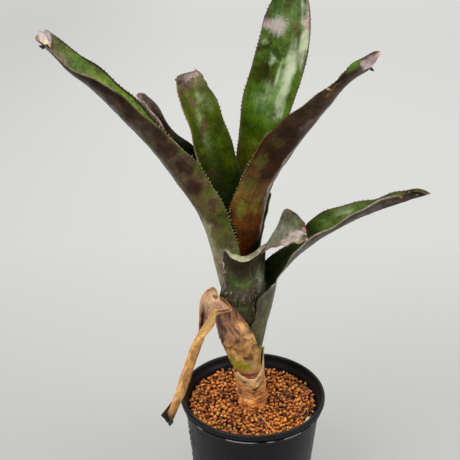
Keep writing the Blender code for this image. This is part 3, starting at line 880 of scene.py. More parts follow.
def shader_group(name, given, made):
    """An empty shader group with the named inputs and outputs, and their kinds."""
    group = bpy.data.node_groups.new(name, "ShaderNodeTree")
    for way, sockets in (("INPUT", given), ("OUTPUT", made)):
        for label, kind in sockets.items():
            group.interface.new_socket(label, in_out=way, socket_type="NodeSocket" + kind)
    return group, node(group, "NodeGroupInput").outputs


def around_one(tree, value, depth):
    """A factor that swings round 1 as a noise value swings round a half."""
    swing = maths(tree, "MULTIPLY", maths(tree, "SUBTRACT", value, 0.5), depth)
    return maths(tree, "ADD", swing, 1.0)


def leaf_skin():
    """The skin of a living leaf: cloudy mottling that turns purplish, long veins and dark pores, streaky
    highlights along it, and pale scurf that lies in brushed patches."""
    inputs = {"Tint": "Color", "Scurf": "Float", "Shine": "Float", "Place": "Vector"}
    inputs.update({"Lengthwise": "Vector", "Mottle": "Float", "Gloss": "Float"})
    outputs = {"Colour": "Color", "Roughness": "Float", "Height": "Float"}
    group, given = shader_group("leaf skin", inputs, outputs)

    def noise_at(scale, detail, roughness=0.5):
        sockets = {"Vector": given["Place"], "Scale": scale, "Detail": detail, "Roughness": roughness}
        return node(group, "ShaderNodeTexNoise", sockets).outputs["Fac"]

    def noise_along(across, along, detail):
        stretch = {"Vector": given["Lengthwise"], "Scale": (across, along, 1.0)}
        return noisy(group, node(group, "ShaderNodeMapping", stretch).outputs[0], 1.0, detail)

    def sums(operation, *values):
        return maths(group, operation, *values)

    def eased(value, low, high, strength=1.0):
        ends = {"Value": value, "From Min": low, "From Max": high, "To Max": strength}
        return node(group, "ShaderNodeMapRange", ends, interpolation_type="SMOOTHSTEP").outputs[0]

    clouds, fine = noise_at(95.0, 5.0, 0.62), noise_at(520.0, 3.0)
    veins, threads = noise_along(42.0, 2.6, 4.0), noise_along(34.0, 2.8, 4.0)
    cloud_tone = around_one(group, clouds, sums("MULTIPLY", given["Mottle"], 2.4))
    tone = sums("MULTIPLY", cloud_tone, around_one(group, fine, 1.3))
    tone = sums("MULTIPLY", tone, around_one(group, veins, 0.9))
    body = times(group, given["Tint"], sums("MAXIMUM", tone, 0.12))
    stain = eased(noise_at(58.0, 4.0, 0.6), 0.53, 0.70, 0.55)
    warm = node(group, "ShaderNodeVectorMath", {0: body, 1: (1.02, 0.62, 0.85)}, operation="MULTIPLY")
    stained = mixed(group, stain, body, warm.outputs[0])
    pore = node(group, "ShaderNodeTexVoronoi", {"Vector": given["Place"], "Scale": 620.0})
    pored = times(group, stained, stretched(group, pore.outputs["Distance"], 0.10, 0.26, 0.62))

    threaded = sums("MULTIPLY_ADD", sums("ADD", threads, clouds), 2.0, -2.0)
    lit = eased(sums("ADD", given["Shine"], threaded), -0.10, 1.55, 0.88)
    lit = sums("MULTIPLY", lit, eased(given["Shine"], 0.0, 0.60))
    shining = mixed(group, lit, pored, (0.62, 0.68, 0.46, 1.0))

    rubbed = sums("ADD", noise_along(70.0, 14.0, 3.0), noise_at(950.0, 3.0))
    laid = sums("ADD", sums("MULTIPLY_ADD", rubbed, 1.5, -1.65), given["Scurf"])
    cover = sums("MULTIPLY", eased(laid, 0.0, 0.80, 0.88), eased(given["Scurf"], 0.0, 0.20))
    scurfy = mixed(group, cover, shining, (0.50, 0.43, 0.40, 1.0))

    rough = sums("MULTIPLY_ADD", clouds, 0.22, given["Gloss"])
    rough = sums("MULTIPLY_ADD", cover, 0.30, rough)
    height = sums("MULTIPLY_ADD", cover, 0.35, sums("MULTIPLY_ADD", veins, 0.7, fine))
    node(group, "NodeGroupOutput", {"Colour": scurfy, "Roughness": rough, "Height": height})
    return group


def leaf_finish(name, side, mottle, gloss, specular):
    """One side of the living leaves, in the tint, scurf and shine painted on the mesh."""
    finish, tree, place = new_material(name)
    sockets = {"Place": place, "Lengthwise": place.node.outputs["UV"], "Mottle": mottle, "Gloss": gloss}
    for label, output in (("Tint", "Color"), ("Scurf", "Fac"), ("Shine", "Fac")):
        sockets[label] = read_off(tree, f"{side}_{label.lower()}", output)
    skin = node(tree, "ShaderNodeGroup", sockets, node_tree=skin_of_a_leaf).outputs
    yellowish = {"Specular_IOR_Level": specular, "Specular_Tint": (1.0, 0.90, 0.50, 1.0)}
    plain_shader(tree, skin["Colour"], skin["Roughness"], skin["Height"], 0.35, 0.0003, **yellowish)
    return finish


def horn(name, colour):
    """Hard, half-clear tissue of a marginal tooth or a leaf's point."""
    finish, tree, place = new_material(name)
    stops = [(0.35, tuple(0.65 * c for c in colour)), (0.65, colour)]
    plain_shader(tree, graded(tree, noisy(tree, place, 700.0, 2.0), stops), 0.4)
    return finish


def tooth_tree():
    """Sets small curved-looking teeth along a margin line. Each point of it holds the way out of the leaf."""
    tree, given = new_tree("marginal teeth", Spacing="Float", Length="Float", Seed="Int", Finish="Material")
    line = node(tree, "GeometryNodeMeshToCurve", {0: given["Geometry"]})
    spaced = {"Curve": line.outputs[0], "Length": given["Spacing"]}
    points = node(tree, "GeometryNodeCurveToPoints", spaced, mode="LENGTH").outputs
    ends = {"Radius Top": 0.03 * MM, "Radius Bottom": 0.40 * MM, "Depth": MM}
    cone = node(tree, "GeometryNodeMeshCone", {"Vertices": 6, "Side Segments": 1, **ends})
    out = node(tree, "GeometryNodeInputNamedAttribute", {"Name": "outward"}, data_type="FLOAT_VECTOR")
    lean = times(tree, points["Tangent"], 0.55)
    way = node(tree, "ShaderNodeVectorMath", {0: out.outputs[0], 1: lean}, operation="ADD")
    turn = node(tree, "FunctionNodeAlignRotationToVector", {"Vector": way.outputs[0]}, axis="Z")
    size = chance(tree, given["Seed"], 0.45, 1.35)
    long = maths(tree, "MULTIPLY", maths(tree, "MULTIPLY", given["Length"], 1000.0), size)
    scale = node(tree, "ShaderNodeCombineXYZ", {"X": size, "Y": size, "Z": long})
    teeth = copies(tree, points["Points"], cone.outputs["Mesh"], turn.outputs[0], scale.outputs[0])
    return finish_tree(tree, teeth, given["Finish"])


def in_place(places):
    """Points in metres, from places in mm above the granules."""
    return places * MM + [0, 0, SOIL_Z * MM]


def margin_line(name, surface, side, start, end, points=160):
    """The line of one margin, from u = start to end, with the way out of the leaf kept at each point."""
    u = np.linspace(start, end, points)
    rim = surface(u, np.full(points, float(side)))
    way = unit(rim - surface(u, np.full(points, side * 0.88)))
    steps = [(i, i + 1) for i in range(points - 1)]
    line = meshed(name, in_place(rim - way * 0.15).tolist(), edges=steps)
    keep_on(line.data, "outward", way, "FLOAT_VECTOR")
    return line


def sheet(name, surface, along, across, finishes, paints, roughen=0.12, even_ends=False):
    """A thin closed sheet over surface(u, v), with finishes for its back, which is outside, and its face.
    Paints are attributes by name, each a function of u, v and the places that gives colours or amounts."""
    work = bmesh.new()
    bmesh.ops.create_grid(work, x_segments=across, y_segments=along, size=1.0)
    mesh = bpy.data.meshes.new(name)
    work.to_mesh(mesh)
    work.free()
    v, share, _ = read(mesh.vertices, "co").T
    u = (share + 1) / 2
    if not even_ends:
        u, v = 1 - (1 - u) ** 1.35, v * (1.22 - 0.22 * v * v)
    places = surface(u, v)
    mesh.vertices.foreach_set("co", in_place(places).ravel())
    mesh.update()
    swell = roughen * (bumps(places, 0.12, 10) + 0.5 * bumps(places, 0.35, 11))
    lifted = places + read(mesh.vertex_normals, "vector") * swell[:, None]
    mesh.vertices.foreach_set("co", in_place(lifted).ravel())
    corner = np.zeros(len(mesh.loops), int)
    mesh.loops.foreach_get("vertex_index", corner)
    flat_map = mesh.uv_layers.new(name="lengthwise")
    flat_map.data.foreach_set("uv", np.stack([(v + 1) / 2, u], 1)[corner].ravel())
    for label, paint in paints.items():
        values = paint(u, v, places)
        if values.ndim == 2:
            keep_on(mesh, label, np.column_stack([values, np.ones(len(u))]), "FLOAT_COLOR")
        else:
            keep_on(mesh, label, values)
    mesh.shade_smooth()
    for finish in finishes:
        mesh.materials.append(finish)
    piece = put(name, mesh)
    body = piece.vertex_groups.new(name="body")
    thick = np.round(1 - soft_step(np.abs(v), 0.72, 1.0), 2)
    for level in np.unique(thick):
        body.add(np.flatnonzero(thick == level).tolist(), float(level), "REPLACE")
    shell = piece.modifiers.new("thickness", "SOLIDIFY")
    shell.thickness = LEAF_THICKNESS * MM
    shell.offset = -1.0
    shell.vertex_group = "body"
    shell.thickness_vertex_group = MARGIN_THICKNESS / LEAF_THICKNESS
    shell.material_offset = 1
    shell.material_offset_rim = 0
    return settle(piece)


def point_cap(name, tip, way, length, radius, finish):
    """The hard point at a leaf's end: a small cone from `tip`, running on along `way`."""
    way = unit(np.array(way, float))
    shares = np.linspace(0, 1, 6)
    points = [tuple(np.array(tip) + way * length * s + np.array([0, 0, SOIL_Z])) for s in shares]
    radii = [radius * (1 - s) ** 0.7 + 0.06 for s in shares]
    piece = tube(name, points, radii, 10)
    piece.data.materials.append(finish)
    return piece


skin_of_a_leaf = leaf_skin()
leaf_face = leaf_finish("leaf_face", "face", 1.15, 0.27, 0.12)
leaf_back = leaf_finish("leaf_back", "back", 1.15, 0.33, 0.12)
pale_tooth = horn("pale_tooth", (0.34, 0.28, 0.13))
dark_tooth = horn("dark_tooth", (0.060, 0.036, 0.024))
black_point = horn("black_point", (0.012, 0.009, 0.008))
teeth_on_a_margin = tooth_tree()


def take_place(piece, node_name):
    """Puts a finished leaf or sheath in the place of its plain solid."""
    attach(piece, "root")
    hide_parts(node_name)
    return piece


def make_leaf(name, node_name, leaf, along=150, across=44):
    """One living leaf with its paint, its teeth and its points, standing for its plain solid."""
    surface = leaf_surface(leaf)

    def paint(side):
        def colours(u, v, places):
            tones, strokes = leaf[side]
            made = painted(tones, strokes, u, v, places)
            for edge in leaf.get(side + "_margins", []):
                made = edged(made, u, v, *edge)
            return made

        return colours

    paints = {"back_tint": paint("back"), "face_tint": paint("face")}
    for label in ("back_scurf", "face_scurf", "back_shine", "face_shine"):
        paints[label] = dust(leaf.get(label, []))
    parts = [sheet(name, surface, along, across, [leaf_back, leaf_face], paints, leaf.get("roughen", 0.25))]
    for number, (side, start, end, spacing, length, finish) in enumerate(leaf.get("teeth", [])):
        line = margin_line(f"{name}_teeth_{number}", surface, side, start, end)
        values = {"Spacing": spacing * MM, "Length": length * MM, "Seed": number + 3, "Finish": finish}
        parts.append(run_tree(line, teeth_on_a_margin, values))
    for number, (place, way, length, radius, finish) in enumerate(leaf.get("points", [])):
        parts.append(point_cap(f"{name}_point_{number}", place, way, length, radius, finish))
    return take_place(join(name, parts + leaf.get("end", [])), node_name)


# ------------------------------------------------------------------------------------ the oldest sheath
# What is left of the lowest sheath: a brown papery cuff round the foot of the bundle, torn to ragged
# points of different heights and split into fibres.
def stub_surface(leaf, rim, start):
    """A sheath that ends at an uneven rim, as surface(u, v) with u running from its foot to the rim."""
    full = max(rim[1])

    def surface(u, v):
        ragged = leaf["ragged"] * bumps(np.stack([v * 9, v * 0, v * 0], 1), 1.0, 12)
        height = start + (smooth_through(*rim, v) + ragged - start) * u
        wrap = leaf["wrap"][0] + (leaf["wrap"][1] - leaf["wrap"][0]) * np.minimum(1.0, u * 1.3)
        turn = leaf["azimuth"] + wrap * v
        lean = leaf["flare"] * np.maximum(0.0, (height - full + 40) / 40) ** 2
        outward = np.stack([np.cos(np.radians(turn)), np.sin(np.radians(turn)), 0 * turn], 1)
        return sheath_point(leaf["layer"], height, turn) + outward * lean[:, None]

    return surface


def creased(surface, crease, deep):
    """Raises the ridges of a surface and sinks its furrows."""

    def lifted(u, v):
        places = surface(u, v)
        ahead, beside = surface(np.minimum(u + 0.004, 1.002), v), surface(u, v + 0.02)
        outward = unit(np.cross(beside - places, ahead - places))
        return places + outward * (deep * crease(u, v))[:, None]

    return lifted


def dry_finish(name, tint, streak):
    """Dead leaf: papery and fibrous, in the tones painted on it, with fine lengthwise cracks and specks."""
    finish, tree, place = new_material(name)
    stretch = {"Vector": place.node.outputs["UV"], "Scale": (streak, 5.0, 1.0)}
    fibres = noisy(tree, node(tree, "ShaderNodeMapping", stretch).outputs[0], 1.0, 5.0)
    blotch, fleck = noisy(tree, place, 240.0, 5.0), noisy(tree, place, 900.0, 2.0)
    tone = maths(tree, "MULTIPLY", around_one(tree, fibres, 1.1), around_one(tree, blotch, 1.5))
    tone = maths(tree, "MULTIPLY", tone, stretched(tree, fleck, 0.3, 0.42, 0.55))
    colour = times(tree, read_off(tree, tint, "Color"), tone)
    plain_shader(tree, colour, 0.62, maths(tree, "ADD", fibres, blotch), 0.55, 0.0005)
    return finish


papery = dry_finish("papery_sheath", "back_tint", 60.0)
cuff = {"layer": -1, "azimuth": 10, "wrap": (172, 172), "flare": -1.0, "ragged": 1.6}
cuff_rim = (
    [-1.0, -0.82, -0.7, -0.6, -0.45, -0.3, -0.16, -0.06, 0.1, 0.35, 0.7, 1.0],
    [27.0, 31.0, 28.5, 26.5, 27.5, 30.5, 38.0, 46.0, 41.0, 33.0, 28.0, 27.0],
)


def slits(u, v):
    """How far each place lies in one of the slits between the fibres, which run round the cuff."""
    lines = np.stack([v * 4.5, u * 10 + 0.5 * np.sin(v * 9), 0 * u], 1)
    fade = soft_step(u, -0.4, -0.1) * (1 - soft_step(u, 0.7, 0.9))
    return np.clip(6.0 * bumps(lines, 1.0, 18) - 0.5, 0.0, 1.0) * fade


def cuff_colours(u, v, places):
    """The cuff: orange and tan fibres with paler torn ends, and painted shade, nearly black, in the slits
    between them.
    """
    orange, tan = (82, 33, 8), (74, 36, 11)
    tones = [(0, orange), (35, tan), (75, (74, 41, 15)), (100, (90, 60, 29))]
    strokes = [
        ((62, 24, 12), 20, -62, 14, 12, 80), (CREAM, 62, -70, 6, 12, 80), (CREAM, 45, -55, 20, 1.8, 80),
        ((66, 36, 8), 30, -32, 22, 12, 75), ((80, 55, 30), 70, -6, 40, 10, 80),
    ]
    # Painted shade: nearly black in the slits.
    return painted(tones, strokes, u, v, places) * (1 - 0.95 * slits(u, v))[:, None]


fibre_cuff = sheet(
    "old_sheath_cuff",
    creased(stub_surface(cuff, cuff_rim, 15.5), slits, -0.8),
    90,
    260,
    [papery, papery],
    {"back_tint": cuff_colours},
    roughen=0.42,
    even_ends=True,
)
take_place(fibre_cuff, "sheath_fibres")


# ---------------------------------------------------------------------------------------- the dead leaf
# The lowest leaf has died and dried. Its sheath still clasps the bundle, wrinkled and tan with a purple
# shoulder, and its blade is folded over and hangs down outside the pot, rolled into a tube.
dead = {
    "layer": 0, "azimuth": 208, "clasp_to": 32, "wrap": (140, 125),
    "wave": 0.0, "tip_round": 4.0,
    "blade": [
        (-17.3, -6.2, 44.0, 25.8, 112, 208, 0),
        (-22.4, -8.3, 58.0, 28.0, 95, 208, 0),
        (-23.6, -9.8, 70.0, 25.5, 75, 212, 0),
        (-25.0, -12.0, 81.0, 18.0, 56, 222, 0),
        (-27.0, -13.5, 89.0, 12.0, 45, 228, 0),
        (-29.0, -13.5, 96.0, 7.0, 40, 230, 0),
    ],
}

# Rows across the folded and rolled end of the blade, from the far lip at the left round the back to the
# right edge, then forward to the near lip. The face shows inside the fold, and the back outside the roll.
# Each row holds the x, y and z of five points.
fold_rows = [
    (-31.8, -15.5, 101.6, -29.9, -13.5, 101.9, -27.5, -13, 102.2, -25.7, -13.5, 100.5, -25.3, -14.5, 100),
    (-34.5, -16.5, 98.6, -32.2, -14.5, 97.7, -28.6, -13.5, 97.5, -24.8, -14.5, 97.7, -24.3, -16, 97.3),
    (-36.2, -17, 95.1, -34.2, -15, 92.6, -28.6, -14.5, 92.7, -22.5, -16.5, 94.2, -22, -18, 93.8),
    (-36.9, -17.5, 90.6, -34.4, -15, 87.6, -28, -15, 88, -17.8, -18, 90, -18.5, -20, 89.3),
    (-37.3, -17.8, 85.7, -34.7, -14.5, 82.6, -28.7, -15, 83.3, -15.4, -20, 88.4, -24.5, -22, 90.1),
    (-37.5, -18, 81.2, -34.9, -14.5, 77.6, -30.8, -15, 78.6, -24.6, -18.5, 84.2, -27.6, -22, 88.9),
    (-37.9, -18.5, 76, -35.6, -15, 73.1, -31.5, -15, 73.1, -26.2, -19, 79.8, -32.2, -22.5, 81.5),
    (-38.1, -19, 71.6, -36.3, -16, 68.2, -32.9, -15.5, 67.9, -28.5, -19, 73.6, -37, -22.5, 73.6),
    (-40.8, -18.5, 63.3, -39.1, -16.5, 61.3, -34.4, -19, 63.7, -37.5, -23, 66.9, -41.4, -21, 64.9),
    (-46, -19, 48.3, -43.5, -17, 46.2, -39.4, -19.5, 49.1, -42.8, -23.5, 52.1, -46.4, -21.5, 50.4),
    (-51.2, -19.5, 32.2, -48.7, -17.5, 30, -44.2, -20, 32.5, -47.9, -24, 36.1, -51.6, -22, 34.3),
    (-55.5, -20, 18.3, -53.6, -18, 15.1, -49.4, -20.5, 17.8, -52.7, -24.5, 21.5, -55.9, -22.5, 20.5),
    (-61.6, -21, 9.2, -58.1, -19, 5.1, -53.8, -21.5, 7.4, -56.1, -25.5, 11.6, -59, -24, 11.8),
    (-65.5, -22, 3.9, -61.8, -20, -2.4, -58.1, -22, -3.5, -58.7, -26, 3.9, -60.7, -25, 9.1),
]


def lofted(rows):
    """surface(u, v) through rows of the x, y and z of five points, from v = -1 to v = 1."""
    rows = np.array(rows, float).reshape(-1, 5, 3)
    steps = np.linalg.norm(np.diff(rows.mean(1), axis=0), axis=1)
    knots = np.concatenate([[0.0], np.cumsum(steps)]) / steps.sum()
    places_across = np.linspace(-1.0, 1.0, 5)

    def surface(u, v):
        across = smooth_through(knots, rows.reshape(len(rows), 15), u).reshape(len(u), 5, 3)
        slopes = np.gradient(across, places_across, axis=1)
        row, i = np.arange(len(u)), np.clip((v + 1) // 0.5, 0, 3).astype(int)
        f = ((v - places_across[i]) / 0.5)[:, None]
        near = (1 + 2 * f) * (1 - f) ** 2 * across[row, i] + f * (1 - f) ** 2 * 0.5 * slopes[row, i]
        beyond = f**2 * (3 - 2 * f) * across[row, i + 1] + f**2 * (f - 1) * 0.5 * slopes[row, i + 1]
        return near + beyond

    return surface


def creases(u, v):
    """The furrows of the dried sheath, from -1 in a furrow to 1 on a ridge. They run along it and fork."""
    lines = np.stack([v * 6.4 - u * 4.2 + 0.4 * np.sin(u * 19), u * 8, 0 * u], 1)
    return 1 - np.abs(bumps(lines, 1.0, 13)) * 3.4 + 0.5 * bumps(lines * (2.4, 2.2, 1), 1.0, 14)


def fold_creases(u, v):
    """Softer creases, which run along the rolled blade."""
    lines = np.stack([v * 3.2 + 0.4 * np.sin(u * 18), u * 16, 0 * u], 1)
    return 0.8 * bumps(lines, 1.0, 15) + 0.5 * bumps(lines * (2.6, 2.4, 1), 1.0, 16)


def dead_colours(u, v, places):
    """The dried sheath: tan, with a purple shoulder and brown and green stains, and painted light and shade
    on its creases.
    """
    tan, light, brown = (49, 23, 6.2), (74, 41, 14.5), (22.5, 9, 3.8)
    purple = (11, 4.2, 2.8)
    tones = [
        (0, (40, 10, 3)), (8, (46, 14, 4)), (17, (52, 27, 6)), (26, tan),
        (45, tan), (62, (37, 16, 5.5)), (80, (28, 11.5, 5)), (100, brown),
    ]
    strokes = [
        ((36, 16.5, 8.5), 66, 30, 20, 40, 80), (purple, 70, 2, 24, 22, 85), (purple, 48, -5, 16, 16, 75),
        (brown, 52, 34, 10, 9, 75), (brown, 42, 52, 12, 8, 70), ((15, 7, 3.5), 30, 66, 9, 10, 80),
        (light, 60, 78, 22, 14, 75), (light, 34, 30, 9, 16, 60), ((34, 31, 0.4), 21.5, 26, 6.2, 42, 95),
        ((30, 27, 1), 26, 6, 6, 22, 70), ((56, 34, 14), 20, 70, 8, 22, 70),
        ((12, 2.4, 1.4), 10.5, 42, 2.4, 50, 85), ((50, 13, 5), 6.5, 42, 2.2, 50, 70),
    ]
    colour = painted(tones, strokes, u, v, places)
    fade = soft_step(u, 0.2, 0.32)
    # Painted light and shade: lighter on the ridges, darker in the furrows.
    shade = 1 + (0.50 * np.clip(creases(u, v), -1.3, 1.0) - 0.1) * fade
    return colour * shade[:, None]


def fold_colours(u, v, places):
    """The back of the rolled blade: tan and cream with orange-brown smears, dark at its split end."""
    tan, light, brown = (62, 29, 7.5), (85, 48, 16.5), (28, 10.5, 3.6)
    tones = [
        (0, tan), (25, light), (36, light), (45, (68, 33, 9)), (56, (74, 38, 11)),
        (68, (58, 26, 6)), (80, light), (91, (60, 29, 8)), (100, (16, 7, 3.5)),
    ]
    strokes = [
        ((7.5, 3, 1.4), 16.5, 80, 4, 11, 95), ((22, 8.5, 3.4), 19, 40, 5, 20, 70),
        (light, 30, 92, 10, 12, 85), ((36, 16, 5), 50, 45, 5, 22, 60), ((36, 16, 4.5), 64, 60, 5, 14, 60),
        ((33, 14, 4.5), 72, 35, 4, 20, 60), ((36, 16, 4.5), 81, 62, 3, 16, 60),
        ((31, 13, 4.5), 87, 38, 3, 22, 60), (brown, 60, 8, 32, 10, 65), (light, 60, 80, 20, 10, 60),
        ((5.5, 2.4, 1.4), 97.5, -10, 3, 50, 90),
    ]
    return painted(tones, strokes, u, v, places)


def fold_inside(u, v, places):
    """The face of the blade on the fold: pinkish brown and tan above, and painted shade, nearly black, deep
    in the roll.
    """
    pinkish, light, deep = (53, 28.5, 18.5), (76, 48, 27), (2.2, 0.8, 0.5)
    # The deep tone and the deep strokes are painted shade inside the roll.
    tones = [(0, (30, 14, 7)), (4, light), (9, light), (16, pinkish), (30, pinkish), (40, deep)]
    strokes = [
        ((60, 35, 21.5), 12, 5, 5, 30, 75), ((36, 17, 11), 22, 0, 10, 7, 65),
        ((27, 12.5, 8), 16, -30, 9, 6, 55), ((56, 33, 20), 20, 32, 5, 16, 85),
        (deep, 24, -60, 17, 26, 100), (deep, 34, -50, 10, 30, 90), ((62, 44, 30), 16, -100, 30, 8, 95),
        (light, 21, 60, 3, 22, 80),
    ]
    return painted(tones, strokes, u, v, places)


dry = dry_finish("dry_leaf_skin", "back_tint", 34.0)
dry_within = dry_finish("dry_leaf_inside", "face_tint", 34.0)
dead_sheath = sheet(
    "dried_sheath",
    creased(leaf_surface(dead), creases, 0.62),
    240,
    100,
    [dry, dry],
    {"back_tint": dead_colours},
    roughen=0.25,
)
dead_fold = sheet(
    "dried_fold",
    creased(lofted(fold_rows), fold_creases, 0.3),
    260,
    70,
    [dry, dry_within],
    {"back_tint": fold_colours, "face_tint": fold_inside},
    roughen=0.25,
    even_ends=True,
)
dead_end = point_cap("dried_end", (-58.6, -23.6, 0.2), (-0.22, -0.1, -1.0), 4.2, 2.2, black_point)
dead_leaf = join("dried_leaf", [dead_sheath, dead_fold, dead_end])
take_place(dead_leaf, "leaf_dead")


# ---------------------------------------------------------------------------------- the cut leaf, right
# An old leaf was cut off low on the right. Only its leathery grey-mauve sheath is left, yellowing at its
# foot and pale along the cut. It clasps the bundle outside the sheath of the torn leaf.
def stub_paint(tones, strokes):
    """Tones and strokes, as a paint for a sheet."""
    return lambda u, v, places: painted(tones, strokes, u, v, places)


cut = {"layer": 1, "azimuth": -15, "wrap": (130, 51), "flare": 4.0, "ragged": 0.5}
cut_rim = ([-1.0, -0.8, -0.5, -0.1, 0.2, 0.5, 1.0], [95.0, 99.0, 102.0, 102.5, 98.0, 93.0, 86.0])
cut_back = stub_paint(
    [(0, (38, 24, 6)), (14, (25, 21, 5)), (34, (11.5, 10.5, 4.2)), (100, (11.5, 10.5, 6.5))],
    [
        ((15, 11.5, 9.5), 80, 5, 20, 40, 75), ((6, 3.6, 2.2), 60, 10, 12, 22, 70),
        ((5, 3.6, 2.2), 86, 20, 5, 10, 80), ((5.5, 4, 2), 74, -2, 4, 8, 80),
        ((8.5, 12, 3), 75, -35, 20, 16, 50), ((30, 30, 10), 25, -10, 12, 30, 60),
        (PALE_GREY, 99, 0, 2, 100, 70),
    ],
)
cut_leaf = sheet(
    "cut_sheath",
    stub_surface(cut, cut_rim, lowest_height(1)),
    110,
    110,
    [leaf_back, leaf_face],
    {
        "back_tint": cut_back,
        "face_tint": stub_paint([(0, DEEP_GREEN), (100, GREY_GREEN)], []),
        "back_scurf": dust([(85, 10, 22, 50, 42), (50, 20, 30, 50, 25)]),
        "face_scurf": dust([]),
    },
    roughen=0.2,
    even_ends=True,
)
take_place(cut_leaf, "leaf_cut_right")


# --------------------------------------------------------------------------------- the torn leaf, front
# The front leaf has been torn across. The sheath ends in a dished rim, and one strip of the blade is left
# at the right, bent out and twisted, with a raw pink edge.
torn = {"layer": 2, "azimuth": -86, "wrap": (140, 51), "flare": 0.0, "ragged": 0.35}
torn_rim = (
    [-1.0, -0.8, -0.5, -0.28, -0.1, 0.06, 0.2, 0.35, 0.56, 0.89, 1.0],
    [128.5, 130.0, 127.0, 125.0, 124.0, 124.5, 126.0, 127.5, 130.5, 132.0, 132.0],
)
torn_flare = (
    [-1.0, -0.8, -0.5, -0.28, -0.1, 0.06, 0.2, 0.35, 0.56, 0.89, 1.0],
    [0.0, 0.6, 4.2, 7.2, 7.9, 7.4, 6.9, 5.9, 4.4, 2.6, 2.0],
)
strip_rows = [
    ((3.4, -18.0, 129.0), (8.4, -13.0, 134.5), 0.0),
    ((9.4, -16.5, 132.6), (11.2, -13.0, 141.0), -0.6),
    ((14.8, -16.4, 134.2), (14.5, -14.0, 149.0), 1.4),
    ((20.2, -16.4, 135.4), (18.8, -13.5, 159.3), 2.2),
    ((26.6, -17.0, 137.6), (25.5, -11.5, 155.8), 1.6),
    ((34.0, -18.4, 138.4), (31.8, -11.0, 149.0), 0.6),
]


def torn_surface():
    """The sheath, whose torn lip rolls outward at the front."""
    sheath = stub_surface(torn, torn_rim, lowest_height(2))

    def surface(u, v):
        places = sheath(np.minimum(u / 0.88, 1.0), v)
        turn = np.radians(torn["azimuth"] + torn["wrap"][1] * v)
        outward = np.stack([np.cos(turn), np.sin(turn), 0 * turn], 1)
        share, flare = np.clip((u - 0.7) / 0.3, 0.0, 1.0), smooth_through(*torn_flare, v)
        out = smooth_through([0.0, 0.35, 0.6, 0.8, 1.0], [0.0, 0.06, 0.22, 0.6, 1.0], share)
        rise = smooth_through([0.0, 0.55, 0.75, 0.88, 1.0], [0.0, 0.1, 0.55, 0.7, 0.42], share)
        folded = 0.75 * np.exp(-(((v - 0.3) / 0.05) ** 2)) * soft_step(u, 0.2, 0.5) * (1 - share)
        places = places + outward * (out * flare + folded)[:, None]
        places[:, 2] += rise * flare
        return places

    return surface


def strip_surface():
    """The strip of blade left at the right, from its root to its frayed end."""
    knots = np.linspace(0.0, 1.0, len(strip_rows))
    rows = np.array([(*low, *high, bulge) for low, high, bulge in strip_rows])

    def surface(u, v):
        here, share = smooth_through(knots, rows, u), (v + 1) / 2
        curl = np.clip(0.3 - share, 0.0, 1.0) / 0.3
        places = here[:, :3] + (here[:, 3:6] - here[:, :3]) * share[:, None]
        frill = 0.5 * u * (np.sin(26 * u + 2) * (1 - share) ** 2 + np.sin(17 * u) * share**3)
        places[:, 1] += here[:, 6] * np.sin(math.pi * share) - 2.2 * u * curl**2 + frill
        places[:, 2] += 1.5 * frill * (1 - share)
        return places

    return surface


# Its back is dark just under the rolled lip, from 80 to 95: partly its own colour and partly painted shadow
# of the lip.
torn_back = stub_paint(
    [(0, (10, 7, 0.8)), (28, (4.2, 3, 0.5)), (50, (4.6, 3.8, 1.4)),
     (66, (5.4, 4.5, 2.1)), (70, (5.8, 7.6, 2.4)), (75, (5.2, 5.4, 2.1)),
     (80, (3, 2.2, 1.2)), (95, (3.6, 2.8, 1.4)), (100, (5, 4, 3))],
    [
        ((8, 12.5, 3.6), 71.5, -20, 2.2, 55, 75), ((12, 14.5, 8.5), 72, 55, 4, 20, 80),
        ((12, 12.5, 7), 60, 62, 18, 24, 80), ((8.5, 14, 4), 54, -15, 1.8, 22, 70),
        ((7.5, 5.6, 5), 64, -25, 3, 40, 80), ((5, 3.8, 3.2), 46, -20, 6, 40, 60),
        (GREY_MAUVE, 64, -85, 12, 8, 60), ((42, 30, 29), 76, -97, 14, 5, 90),
        ((30, 25, 22), 90, -90, 6, 6, 70), ((60, 58, 52), 62.5, -50, 1, 1.8, 95),
        ((60, 58, 52), 60, -66, 1.2, 1.4, 95), ((50, 50, 42), 57.5, -60, 1, 1.4, 90),
        # The pale line and the near-black line beside the ridge are a painted highlight and a painted shadow.
        ((19, 18, 13), 60, 27.5, 26, 2.2, 80), ((1.2, 1.2, 0.6), 60, 33.5, 26, 2.2, 90),
        ((1.4, 1.4, 0.6), 50, 90, 30, 14, 85), (CREAM, 100, 30, 1, 60, 70),
        (PALE_GREEN, 100, -40, 1.2, 50, 85),
    ],
)
torn_face = stub_paint(
    [(0, DEEP_GREEN), (70, MID_GREEN), (84, (8.5, 13, 3.6)), (90, (15, 22, 8)),
     (96, (22, 25.5, 12)), (100, (52, 43, 31))],
    [
        ((20, 33, 11), 93.5, -22, 4.5, 20, 85), ((21, 19, 12), 95, 22, 6, 20, 80),
        ((27, 24, 18), 96, 70, 6, 25, 80), ((36, 28, 22), 97, -80, 5, 20, 70),
    ],
)
